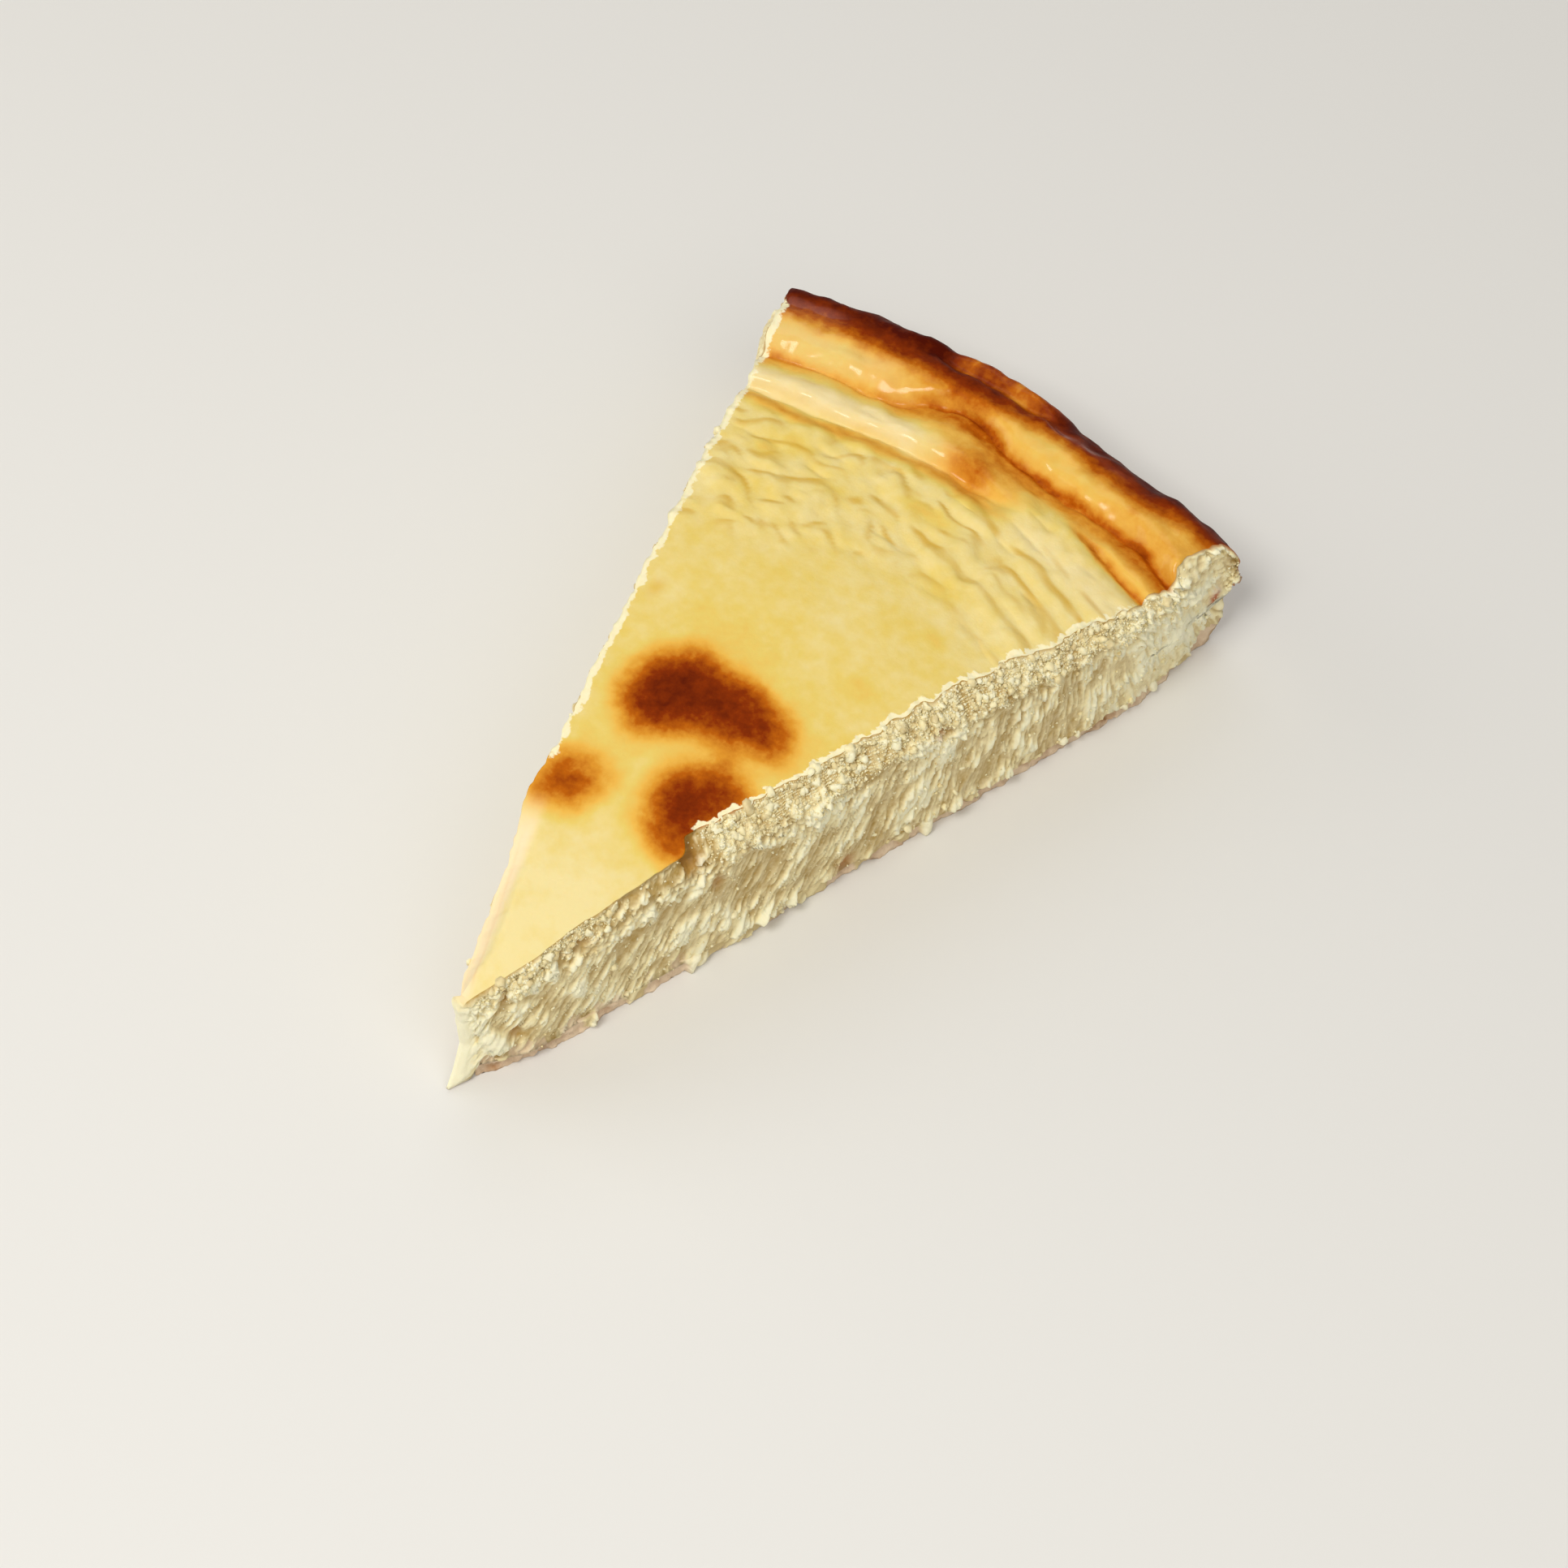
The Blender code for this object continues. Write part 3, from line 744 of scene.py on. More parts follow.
def skin_relief(points, radius):
    """Soft swellings and dimples of the skin, more of them near the rim, and a fine grain."""
    near_rim = ramp(radius, *NEAR_RIM)
    swell = at_least(SKIN_SWELL_LEAST, near_rim) * waves(points * (1.0, 1.0, 0.0), SKIN_SWELL, 2)
    return swell + near_rim * waves(points, RIM_DIMPLES, 2, 5.0) + waves(points, SKIN_GRAIN, 2)


def tip_strip(radius, height):
    """1 on the pale strip at the tip."""
    sway, length = TIP_STRIP_SWAY
    edge = np.interp(height, *TIP_STRIP_EDGE) + sway * smooth_noise(height / length, 0.0 * height, seed=91)
    return 1.0 - ramp(radius, edge - TIP_STRIP_SOFTNESS, edge + TIP_STRIP_SOFTNESS)


def tip_sweep(station, height):
    """How far the end of the slice lies back at a height, fading with the distance from the tip."""
    return np.interp(height, *TIP_SWEEP) * (1.0 - ramp(station, TIP_RADIUS, TIP_SWEEP_LENGTH))


def dragged(radius, height):
    """1 where filling was dragged down over the pastry at the front cut."""
    ragged = waves(drawn(radius, height) / (1.0, SMEAR_RAGGED_STRETCH, 1.0), SMEAR_RAGGED, 3, 65.0)
    share = np.zeros_like(radius)
    for middle, bottom, width in SMEARS:
        spread = width / 2.0 + SMEAR_WIDENING * (height - bottom) - np.abs(radius - middle)
        inside = np.minimum(spread, SMEAR_STEEPNESS * (height - bottom)) + ragged
        share = np.maximum(share, ramp(inside, -SMEAR_SOFTNESS, SMEAR_SOFTNESS))
    return share


def drawn(radius, height):
    """Place on a cut, with the leaning strokes of the knife set upright."""
    return np.stack([radius - np.interp(radius, *STREAK_LEAN) * height, height, 0.0 * radius], axis=-1)


def curds(points, shift, taper=0.0):
    """Uneven curds packed together, from 0 between them to 1 on the tallest.

    With a taper the curds are flecks that stand out at their lower end and thin out upwards.
    """
    heights = np.zeros(len(points))
    for number, place in enumerate(points):
        place = Vector(place) + Vector((shift, shift, shift))
        swayed = place + 0.35 * noise.noise_vector(1.7 * place)
        distances, centres = noise.voronoi(swayed)
        own = 0.5 + 0.75 * noise.cell(7.3 * centres[0])
        dome = math.sqrt(max(1.0 - (distances[0] / 0.7) ** 2, 0.0))
        up = (swayed - centres[0]).y / FLECK_REACH
        heights[number] = dome * min(max(own, 0.0), 1.0) * (1.0 - taper * min(max(up, FLECK_TOE), 1.0))
    return heights


def fingers(radius, height):
    """Drawn-out lumps of filling at the foot of the front cut."""
    return curds(drawn(radius, height) / (*FINGER_SIZE, 1.0), 6.0)


def crumble(points, radius, height, depth, shift):
    """Relief of a cut, from 0 up: curds near the skin and leaning flecks and grooves below."""
    plan = drawn(radius, height)

    def lumps(sizes, seed):
        total = np.zeros(len(points))
        for width, length, rise in sizes:
            total += rise * curds(plan / (width, length, 1.0), seed, FLECK_TAPER)
        return total

    furrowed = np.abs(fractal(plan / (*GROOVE_SIZE, 1.0), 1.0, 2, shift))
    grooves = GROOVE_RISE * np.clip(1.0 - GROOVE_SHARPNESS * furrowed, 0.0, 1.0) ** 2
    high = fade(depth + waves(points, CURD_BAND_SWAY, 2, shift + 3.0), CURD_BAND)
    curd_rise = lumps(CURD_SIZES, shift) * high * ramp(depth, *BELOW_SKIN)
    fleck_rise = (lumps(FLECK_SIZES, shift + 3.0) + grooves) * (1.0 - high)
    patchy = at_least(CALM_LEAST, ramp(fractal(points, CALM_SIZE, 2, shift), *CALM_PLACES))
    return patchy * (curd_rise + fleck_rise)


def spot_browning(across, along):
    """Browning of the scorched spots: nearly even inside, with a soft edge and a faint halo."""
    clear = np.ones_like(across)
    for spot in BROWN_SPOTS:
        away = np.hypot((across - spot.x) / spot.half_x, (along - spot.y) / spot.half_y)
        outside = (away - 1.0) * min(spot.half_x, spot.half_y)
        share = 1.0 - ramp(outside, -5.6, 2.2)
        halo = SPOT_HALO * np.exp(-np.maximum(outside, 0.0) / 3.5)
        clear *= 1.0 - spot.strength * ((1.0 - SPOT_HALO) * share + halo)
    return 1.0 - clear


def lobe_share(radius, angle):
    """1 on the lobe of the rim."""
    return plateau(angle, (-6.5, -4.5), (1.0, 4.0)) * ramp(radius, 126.5, 129.0)


def lobe_highlights(angle, height):
    """Painted golden highlights, as streaks that run down the lobe."""
    plan = np.stack([angle, height, 0.0 * angle], axis=-1) / (*LOBE_STREAK_SIZE, 1.0)
    swayed = angle + 0.9 * fractal(plan, 1.0, 2, 44.0)
    return sum(strength * hill(swayed - middle, width) for middle, width, strength in LOBE_HIGHLIGHTS)


def skin_browning(across, along, radius, angle, height):
    """How far the skin is browned, from 0 for pale yellow to 1 for nearly black."""
    plan = np.stack([across, along, 0.0 * across], axis=-1)
    solid = np.stack([across, along, height], axis=-1)
    swayed = (across + waves(plan, BROWN_SWAY, 3), along + waves(plan, BROWN_SWAY, 3, 20.0))
    scorched = 0.72 * spot_browning(*swayed)
    toast = 0.065 * ramp(radius, 12.0, 60.0) + waves(plan, (0.035, 9.0), 3, 60.0)
    toast *= (1.0 - 0.5 * ramp(radius, 84.0, 92.0)) * fade(radius, (106.0, 110.0))
    folds = fold_browning(radius + waves(plan, BROWN_SWAY, 3, 40.0), angle)
    # The lobe is paler, with painted highlights as golden streaks
    folds -= lobe_share(radius, angle) * ramp(height, 15.0, 20.0) * (0.36 + lobe_highlights(angle, height))
    folds *= 1.0 - fade(height, (12.0, 20.0)) * (0.3 + waves(solid, (0.2, 5.0), 3, 46.0))
    return scorched + toast + folds


def crease_tint_and_shade(crease, shades, radius, angle):
    """Darker colour in a crease, and painted shade on the slope before it."""
    away = radius - crease_line(crease, angle)
    return sum(strength * hill(away + before, width) for strength, before, width in shades)


def fold_browning(radius, angle):
    """Browning of the folds and the rim, with painted shade on the slopes before the creases."""
    inner = np.interp(angle, *INNER_RIDGE_GOLD) * plateau(radius, (108.0, 113.0), (113.5, 118.0))
    outer = np.interp(angle, *OUTER_RIDGE_GOLD) * ramp(radius, 113.5, 118.0)
    past_gold = radius - np.interp(angle, *DARK_FROM)
    dark = sum(strength * ramp(past_gold, start, end) for strength, start, end in DARK_STEPS)
    outer_valley = crease_tint_and_shade(OUTER_VALLEY, OUTER_VALLEY_SHADES, radius, angle)
    inner_valley = crease_tint_and_shade(INNER_VALLEY, INNER_VALLEY_SHADES, radius, angle)
    short_crease = crease_tint_and_shade(SHORT_CREASE, SHORT_CREASE_SHADES, radius, angle)
    valley = np.interp(angle, *OUTER_VALLEY_TINT) * outer_valley
    valley += inner_valley * ramp(angle, 9.0, 3.0) + short_crease * ramp(angle, 9.0, 13.0)
    return inner + outer + dark + valley


# Colours in linear light
SKIN_SCALE = (
    (0.0, (0.85, 0.715, 0.34)),
    (0.1, (0.80, 0.605, 0.15)),
    (0.2, (0.83, 0.48, 0.08)),
    (0.3, (0.72, 0.31, 0.028)),
    (0.45, (0.50, 0.12, 0.003)),
    (0.65, (0.25, 0.03, 0.0006)),
    (0.9, (0.08, 0.005, 0.0004)),
)
# Gold for the painted shade on the pads' far slopes, and for a line along the droop and a flap
GOLD_AND_PAINTED_SHADE = (0.74, 0.45, 0.055)
# The droop's peach, and the colour of the painted sheen on the ridges
PEACH_AND_SHEEN = (0.97, 0.78, 0.52)
CRUMB_WHITE = (0.97, 0.91, 0.64)
CRUMB_LIGHT = (0.92, 0.80, 0.46)
CUT_CREAM = (0.65, 0.51, 0.25)
# Painted shade in the hollows of the cuts
CUT_HOLLOW_SHADE = (0.46, 0.29, 0.065)
# Brown of a spot and of the skin over the left cut, and of the painted shade in the tear and hollows
BROWN_AND_HOLLOW_SHADE = (0.45, 0.08, 0.006)
PASTRY_TAN = (0.79, 0.61, 0.42)
PASTRY_GOLDEN = (0.62, 0.37, 0.15)
PASTRY_BROWN = (0.38, 0.18, 0.06)
PASTRY_PALE = (0.84, 0.68, 0.48)
FLOOR_COLOUR = (0.78, 0.77, 0.74)

# How far the floor reaches, in metres
FLOOR_REACH = 3.0


class Surface:
    """A material, and short ways to add nodes to it."""

    def __init__(self, name):
        self.material = bpy.data.materials.new(name)
        self.material.use_nodes = True
        self.nodes = self.material.node_tree.nodes
        self.links = self.material.node_tree.links
        self.shader = self.nodes["Principled BSDF"]

    def put(self, socket, value):
        if isinstance(value, bpy.types.NodeSocket):
            self.links.new(value, socket)
        elif isinstance(value, tuple) and len(value) == 3 and socket.type == "RGBA":
            socket.default_value = (*value, 1.0)
        else:
            socket.default_value = value

    def set(self, **values):
        """Sets the shader's own sockets; an underscore stands for a space."""
        for name, value in values.items():
            self.put(self.shader.inputs[name.replace("_", " ")], value)

    def attribute(self, name):
        node = self.nodes.new("ShaderNodeAttribute")
        node.attribute_name = name
        return node.outputs["Fac"]

    def place(self):
        return self.nodes.new("ShaderNodeTexCoord").outputs["Object"]

    def clouds(self, size, detail=3.0, stretch=(1.0, 1.0, 1.0)):
        """Noise from 0 to 1 whose hills are size millimetres apart."""
        mapping = self.nodes.new("ShaderNodeMapping")
        mapping.inputs["Scale"].default_value = stretch
        self.put(mapping.inputs["Vector"], self.place())
        node = self.nodes.new("ShaderNodeTexNoise")
        node.inputs["Scale"].default_value = 1.0 / (size * MM)
        node.inputs["Detail"].default_value = detail
        self.put(node.inputs["Vector"], mapping.outputs["Vector"])
        return node.outputs["Fac"]

    def math(self, kind, a, b=0.0):
        node = self.nodes.new("ShaderNodeMath")
        node.operation = kind
        self.put(node.inputs[0], a)
        self.put(node.inputs[1], b)
        return node.outputs[0]

    def spread(self, value, low, high, to_low=0.0, to_high=1.0):
        """Maps low..high onto to_low..to_high, and holds the ends."""
        node = self.nodes.new("ShaderNodeMapRange")
        for name, number in (("From Min", low), ("From Max", high), ("To Min", to_low), ("To Max", to_high)):
            node.inputs[name].default_value = number
        self.put(node.inputs["Value"], value)
        return node.outputs["Result"]

    def mix(self, share, a, b, blend="MIX"):
        node = self.nodes.new("ShaderNodeMix")
        node.data_type = "RGBA"
        node.blend_type = blend
        colours = [socket for socket in node.inputs if socket.type == "RGBA"]
        self.put(node.inputs["Factor"], share)
        self.put(colours[0], a)
        self.put(colours[1], b)
        return next(socket for socket in node.outputs if socket.type == "RGBA")

    def scale(self, value, *stops):
        """A colour scale through (place, colour) stops."""
        node = self.nodes.new("ShaderNodeValToRGB")
        marks = node.color_ramp.elements
        while len(marks) < len(stops):
            marks.new(0.5)
        for mark, (place, colour) in zip(marks, stops):
            mark.position = place
            mark.color = (*colour, 1.0)
        self.put(node.inputs["Fac"], value)
        return node.outputs["Color"]

    def bump(self, height, depth):
        """Dents of that depth, in millimetres, that are too fine for the mesh."""
        node = self.nodes.new("ShaderNodeBump")
        node.inputs["Distance"].default_value = depth * MM
        self.put(node.inputs["Height"], height)
        return node.outputs["Normal"]


def skin_material():
    """Baked skin: pale yellow, golden, orange and dark brown, with painted shade on the pads and painted
    sheen on the ridges, soft where pale and glossy at the rim.
    """
    s = Surface("baked_skin")
    browning = s.attribute("browning")
    toasted = s.spread(browning, 0.15, 0.5)
    mottle = s.spread(s.clouds(2.2, 4.0), 0.3, 0.7, -0.025, 0.025)
    specks = s.math("MULTIPLY", s.spread(s.clouds(0.6, 2.0), 0.35, 0.7, -0.035, 0.02), toasted)
    blotches = s.math("MULTIPLY", s.spread(s.clouds(1.6, 5.0), 0.3, 0.7, -0.07, 0.07), toasted)
    shade = s.math("ADD", s.math("ADD", browning, blotches), s.math("ADD", mottle, specks))
    # The crease attribute is painted shade on the pads' far slopes, with gold along the droop and on a flap
    crease = s.spread(s.attribute("crease"), 0.05, 1.0, 0.0, 0.85)
    colour = s.mix(crease, s.scale(shade, *SKIN_SCALE), GOLD_AND_PAINTED_SHADE)
    # Peach on the droop, painted paler against its shade, and painted sheen on the ridges
    colour = s.mix(s.attribute("peach_and_sheen"), colour, PEACH_AND_SHEEN)
    frayed = s.math("ADD", s.attribute("bare"), s.spread(s.clouds(0.5, 3.0), 0.3, 0.7, -0.2, 0.2))
    colour = s.mix(s.spread(frayed, 0.35, 0.6), colour, s.mix(s.clouds(0.8, 3.0), CRUMB_LIGHT, CRUMB_WHITE))
    s.set(Base_Color=colour, Normal=s.bump(s.clouds(0.6, 4.0), 0.05))
    s.set(Roughness=0.5, Specular_IOR_Level=0.04)
    s.set(Coat_Weight=s.attribute("gloss"), Coat_Roughness=0.15, Coat_IOR=1.4)
    s.set(Subsurface_Weight=0.2, Subsurface_Radius=(1.0, 0.7, 0.4), Subsurface_Scale=1.0 * MM)
    return s.material


def cut_material(name):
    """Dense baked filling where it is cut or broken, with painted light on top of the crumbs and painted
    golden shade between them.
    """
    s = Surface(name)
    # raised is painted shade in the hollows and painted light on the tallest curds, besides pale smears;
    # crumbs get a random tone
    raised = s.attribute("raised")
    grain = s.spread(s.clouds(0.8, 4.0), 0.3, 0.7, -0.1, 0.1)
    shade = s.math("ADD", raised, grain)
    colour = s.scale(shade, (0.0, CUT_HOLLOW_SHADE), (0.25, CUT_CREAM), (0.6, CRUMB_LIGHT), (0.95, CRUMB_WHITE))
    colour = s.mix(s.attribute("clinging"), colour, PASTRY_TAN)
    colour = s.mix(s.attribute("browning"), colour, BROWN_AND_HOLLOW_SHADE)
    s.set(Base_Color=colour, Normal=s.bump(s.clouds(0.5, 5.0), 0.08))
    s.set(Roughness=s.spread(s.clouds(3.0, 3.0), 0.3, 0.7, 0.35, 0.6))
    s.set(Subsurface_Weight=0.2, Subsurface_Radius=(1.0, 0.85, 0.65), Subsurface_Scale=0.4 * MM)
    s.set(Specular_IOR_Level=0.25)
    return s.material


def pastry_material():
    """Baked pastry: tan and pinkish, toasted in places, with filling dragged over it."""
    s = Surface("baked_pastry")
    tan = s.mix(s.attribute("baked"), PASTRY_TAN, PASTRY_GOLDEN)
    colour = s.mix(s.spread(s.clouds(3.5, 5.0), 0.46, 0.75), tan, PASTRY_BROWN)
    colour = s.mix(s.spread(s.clouds(1.6, 5.0), 0.45, 0.75, 0.0, 0.6), colour, PASTRY_PALE)
    filling = s.scale(s.attribute("raised"), (0.0, CUT_CREAM), (0.35, CRUMB_LIGHT), (0.7, CRUMB_WHITE))
    colour = s.mix(s.attribute("dragged"), colour, filling)
    s.set(Base_Color=colour, Normal=s.bump(s.clouds(0.7, 5.0), 0.2))
    s.set(Roughness=0.75, Specular_IOR_Level=0.3)
    return s.material


# Crumbs lie in two bands under the skin, most of all past the tear, and a few below
CRUMB_BANDS = (
    (1.0, (40.0, 44.0), (96.0, 124.0), 1.2, 2.4),
    (0.7, (4.0, 8.0), (17.0, 30.0), 1.6, 1.4),
)


class Filling:
    """The filling's surface: its points and sides, its fine relief, and the colours that follow them."""

    def __init__(self):
        i, j, k, self.sheets = lattice_shell(FILLING_COLUMNS + 1, len(FILLING_STATIONS), len(FILLING_LEVELS))
        across, station, self.level = i / FILLING_COLUMNS, FILLING_STATIONS[j], FILLING_LEVELS[k]
        self.radius, self.angle, self.height = place_filling(across, station, self.level)
        self.depth = place_filling(across, station, np.ones_like(self.level))[2] - self.height
        self.points = to_slice(self.radius, self.angle, self.height)
        self.points[:, 1] += tip_sweep(station, self.height)
        self.faces = np.concatenate(self.sheets)
        self.normals = vertex_normals(self.points, self.faces)
        self.top = k == len(FILLING_LEVELS) - 1
        self.front = (i == FILLING_COLUMNS) & ~self.top
        self.left = (i == 0) & ~self.top
        self.skin = self.top | ((j == len(FILLING_STATIONS) - 1) & (self.level > LEDGE_LEVEL))
        self.from_left = np.radians(self.angle + HALF_ANGLE) * self.radius
        self.past_tear = ramp(self.radius, *TEAR_BAND)
        self.strip = tip_strip(self.radius, self.height) * (self.front | self.left | (j == 0))
        self.white = fade(self.radius, TIP_STRIP_WHITE)
        self.break_cuts()
        self.fold_skin((1.0 - across) * np.radians(2.0 * HALF_ANGLE) * self.radius)
        self.raise_points(bottom=k == 0)

    def break_cuts(self):
        """Curds, flecks and grooves of the cuts, calmer before the tear and at the left, tip and foot."""
        radius, height, front = self.radius, self.height, self.front
        broken, self.patches = np.zeros((2, len(radius)))
        for side, shift in ((front, 0.0), (self.left, 50.0)):
            broken[side] = crumble(self.points[side], radius[side], height[side], self.depth[side], shift)
        broken *= 1.0 - 0.4 * (1.0 - self.past_tear) * fade(self.depth, (1.0, 4.0))
        broken *= 1.0 - self.left * (1.0 - 0.4 * ramp(radius, 8.0, 20.0))
        broken *= at_least(0.3, ramp(radius, *SET_IN_BAND)) * ramp(height, 0.0, 1.5)
        self.broken = broken * (1.0 - TIP_WHITE_CALM * self.strip * self.white)
        ribs = TIP_RIBS * fractal(drawn(radius, height) / (*TIP_RIB_SIZE, 1.0), 1.0, 3, 80.0)
        self.ribs = ribs * (1.0 - TIP_WHITE_CALM * self.white) * ~self.left
        self.patches[front] = sum(one.strength * one.share(radius[front], height[front]) for one in PATCHES)
        self.torn = front * hill(radius - TEAR_RADIUS, TORN_WIDTH) * hill(self.depth, TEAR_HEIGHT)
        self.fingers = front * plateau(radius, *FINGER_BAND) * fade(height, FINGER_FADE)
        low = self.fingers > 0.0
        self.fingers[low] *= fingers(radius[low], height[low])

    def fold_skin(self, from_front):
        """Pads of the skin, and its frayed edge over the front cut."""
        self.pads, self.pad_shade = np.zeros((2, len(self.radius)))
        self.pads[self.top], self.pad_shade[self.top] = skin_pads(self.radius[self.top], self.angle[self.top])
        frayed = fade(from_front + waves(self.points, FRAYED_SWAY, 3, 31.0), FRAYED_WIDTH)
        self.frayed = frayed * self.top * plateau(self.radius, *FRAYED_BAND)

    def raise_points(self, bottom):
        """Adds the fine relief to the points."""
        points, radius, skin = self.points, self.radius, self.skin
        strip = self.strip * ~self.left * ramp(radius, 0.5, 2.0) * ramp(self.height, 0.0, 2.0)
        rise = self.broken + self.patches + (TIP_STRIP_RISE + self.ribs) * strip
        rise += self.torn * (waves(points, (1.1, 1.2), 3, 17.0) - 0.2) + FINGER_RISE * self.fingers
        set_in = 0.65 * ramp(self.depth, 0.0, 1.0) * ramp(radius, *SET_IN_BAND)
        rise -= (self.front | self.left) * set_in * (1.0 - 0.8 * self.past_tear * self.front)
        rise[skin] += skin_relief(points[skin], radius[skin])
        rise += self.pads + self.frayed * waves(points, (0.35, 0.9), 2, 33.0)
        rise[bottom] = 0.0
        self.points = points + self.normals * rise[:, None]

    def browning(self):
        """Browning of the skin and of what hangs over the left cut, a browned spot on the front cut, and
        painted shade in its hollows and tear.
        """
        across, along, radius, angle = (one[self.skin] for one in from_slice(self.points))
        browning = np.zeros(len(self.points))
        browning[self.skin] = skin_browning(across, along, radius, angle, self.height[self.skin])
        over_edge = self.left * plateau(self.radius, (28.0, 30.0), (36.0, 38.0))
        over_edge *= fade(self.depth, (1.5, 4.0))
        # A browned spot, and painted shade in the hollows and the tear
        brown_and_shade = sum(one.strength * one.share(self.radius, self.height) for one in BROWN_AND_SHADE_SPOTS)
        return browning + 0.35 * over_edge + self.front * brown_and_shade

    def gold_and_painted_shade(self):
        """Gold on the skin: painted shade on the pads' far slopes, a line along the edge of the droop, and a
        flap at the left.
        """
        across, along = from_slice(self.points)[:2]
        droop = hill(self.from_left - np.interp(self.radius, *DROOP_LINE), 0.3)
        droop *= plateau(self.radius, (4.0, 7.0), (22.0, 28.0))
        flap = GOLDEN_FLAP.strength * GOLDEN_FLAP.share(across, along)
        # The pads' shade is painted shade, in gold
        return self.top * (1.1 * self.pad_shade + 0.8 * droop + flap)

    def peach_and_sheen(self):
        """Peach of the skin on the droop, painted paler there against the shade of its slope, and painted
        sheen on the ridges.
        """
        # The droop's own peach, painted paler against the shade of its drooping slope
        peach_and_sheen = 0.75 * fade(self.from_left, (1.5, 3.2)) * plateau(self.radius, (2.0, 4.0), (26.0, 33.0))
        # Painted sheen along the ridges
        for strength, rise, fall, angles in RIDGE_SHEEN:
            peach_and_sheen += strength * plateau(self.radius, rise, fall) * ramp(self.angle, *angles)
        return self.top * peach_and_sheen

    def bare(self):
        """Where the filling shows through the skin, along both of its edges."""
        bare = fade(self.from_left + waves(self.points, (0.7, 1.6), 2), (0.3, 1.4))
        bare *= self.top * plateau(self.radius, (36.0, 40.0), (125.0, 130.0))
        return 0.9 * np.maximum(bare, self.frayed)

    def gloss(self, browning):
        """Gloss of the folds where they are pale, of two wet places on the rim, and of the lobe."""
        radius, angle = self.radius, self.angle
        gloss = 0.6 * ramp(radius, 106.0, 113.0) * fade(browning, (0.25, 0.45))
        gloss += 0.6 * plateau(angle, (2.5, 4.0), (9.0, 10.5)) * hill(radius - 127.2, 0.6)
        gloss += fade(angle, (-14.0, -12.0)) * plateau(radius, (120.0, 122.0), (127.0, 129.0))
        return np.clip(gloss + 0.25 * lobe_share(radius, angle), 0.0, 1.0)

    def paleness_and_painted_shade(self):
        """How pale the cuts are painted, from 0 in the hollows to 1 on the tallest curds: painted shade in
        hollows, under the skin's edge and in the tear, painted light on the curds, and the paler smears,
        fingers, left cut, rim end and tip strip.
        """
        radius, depth, front = self.radius, self.depth, self.front
        crumbly = self.past_tear * fade(depth, (3.0, 7.0))
        shade_under_skin = front * (1.0 - self.past_tear) * fade(depth, (0.5, 2.5))
        # The height of the relief is painted as light on the curds and as shade between them
        pale = PALE_LEAST + PALE_CURDS * self.broken * (1.0 - PALE_CRUMBLY * crumbly)
        # Smears are paler; hollows get painted shade, and so does the cut under the skin's edge before the
        # tear
        pale += np.where(self.patches > 0.0, PALE_SMEARS, PAINTED_SHADE_IN_HOLLOWS) * self.patches
        pale -= PAINTED_SHADE_UNDER_SKIN * shade_under_skin
        pale += PALE_BELOW * ramp(depth, *CURD_BAND) + PALE_LEFT * self.left + PALE_FINGERS * self.fingers
        pale += PALE_RIM * front * plateau(radius, (104.0, 116.0), (130.0, 134.0))
        # On the front cut, stretching the contrast deepens the painted shade and the painted light
        pale[front] = np.maximum(CUT_MIDDLE + CUT_CONTRAST * (pale[front] - CUT_MIDDLE), CUT_LEAST)
        # The tip strip is paler and whitest at the tip, partly as painted light there; its ribs are painted
        # lighter where they stand out
        pale += (PALE_STRIP + STRIP_WHITE_AND_LIGHT * self.white + self.ribs) * self.strip
        # Painted shade in the tear; the left cut is paler near the tip
        return pale - PAINTED_SHADE_IN_TEAR * self.torn + PALE_LEFT_TIP * self.left * fade(radius, (20.0, 40.0))

    def clinging(self):
        """Where crumbs of pastry cling to the foot of the filling."""
        radius, front = self.radius, self.front
        above = self.height + waves(self.points, (0.8, 2.0), 3, 11.0) + 1.2 * self.broken
        clinging = 0.7 * fade(above, (4.2, 5.4)) * (1.0 - self.strip)
        clinging *= 1.0 - 0.8 * ramp(radius, 30.0, 60.0)
        clinging[front] *= 1.0 - dragged(radius[front], np.full(front.sum(), BASE_THICKNESS))
        return clinging

    def material_numbers(self):
        """0 for skin, on the top and on the rim above the ledge, and 1 for cut filling."""
        number = np.ones(len(self.faces), dtype=np.int32)
        number[: len(self.sheets[TOP_SHEET])] = 0
        rim = slice(len(number) - len(self.sheets[RIM_SHEET]), None)
        number[rim] = self.level[self.faces[rim]].min(axis=1) <= LEDGE_LEVEL
        return number


def make_filling(skin, cut):
    """The filling, with its relief and the colours of its skin and cuts."""
    filling = Filling()
    piece = new_piece("filling_baked", filling.points, filling.faces)
    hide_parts("filling")
    browning = filling.browning()
    give_attribute(piece, "browning", browning)
    # Painted shade of the pads, with a golden line and flap
    give_attribute(piece, "crease", filling.gold_and_painted_shade())
    # Peach of the droop, and painted sheen of the ridges
    give_attribute(piece, "peach_and_sheen", filling.peach_and_sheen())
    give_attribute(piece, "bare", filling.bare())
    give_attribute(piece, "gloss", filling.gloss(browning))
    # Painted shade and light of the cuts, with their paler smears
    give_attribute(piece, "raised", filling.paleness_and_painted_shade())
    give_attribute(piece, "clinging", filling.clinging())
    piece.data.materials.append(skin)
    piece.data.materials.append(cut)
    piece.data.polygons.foreach_set("material_index", filling.material_numbers())
    return filling


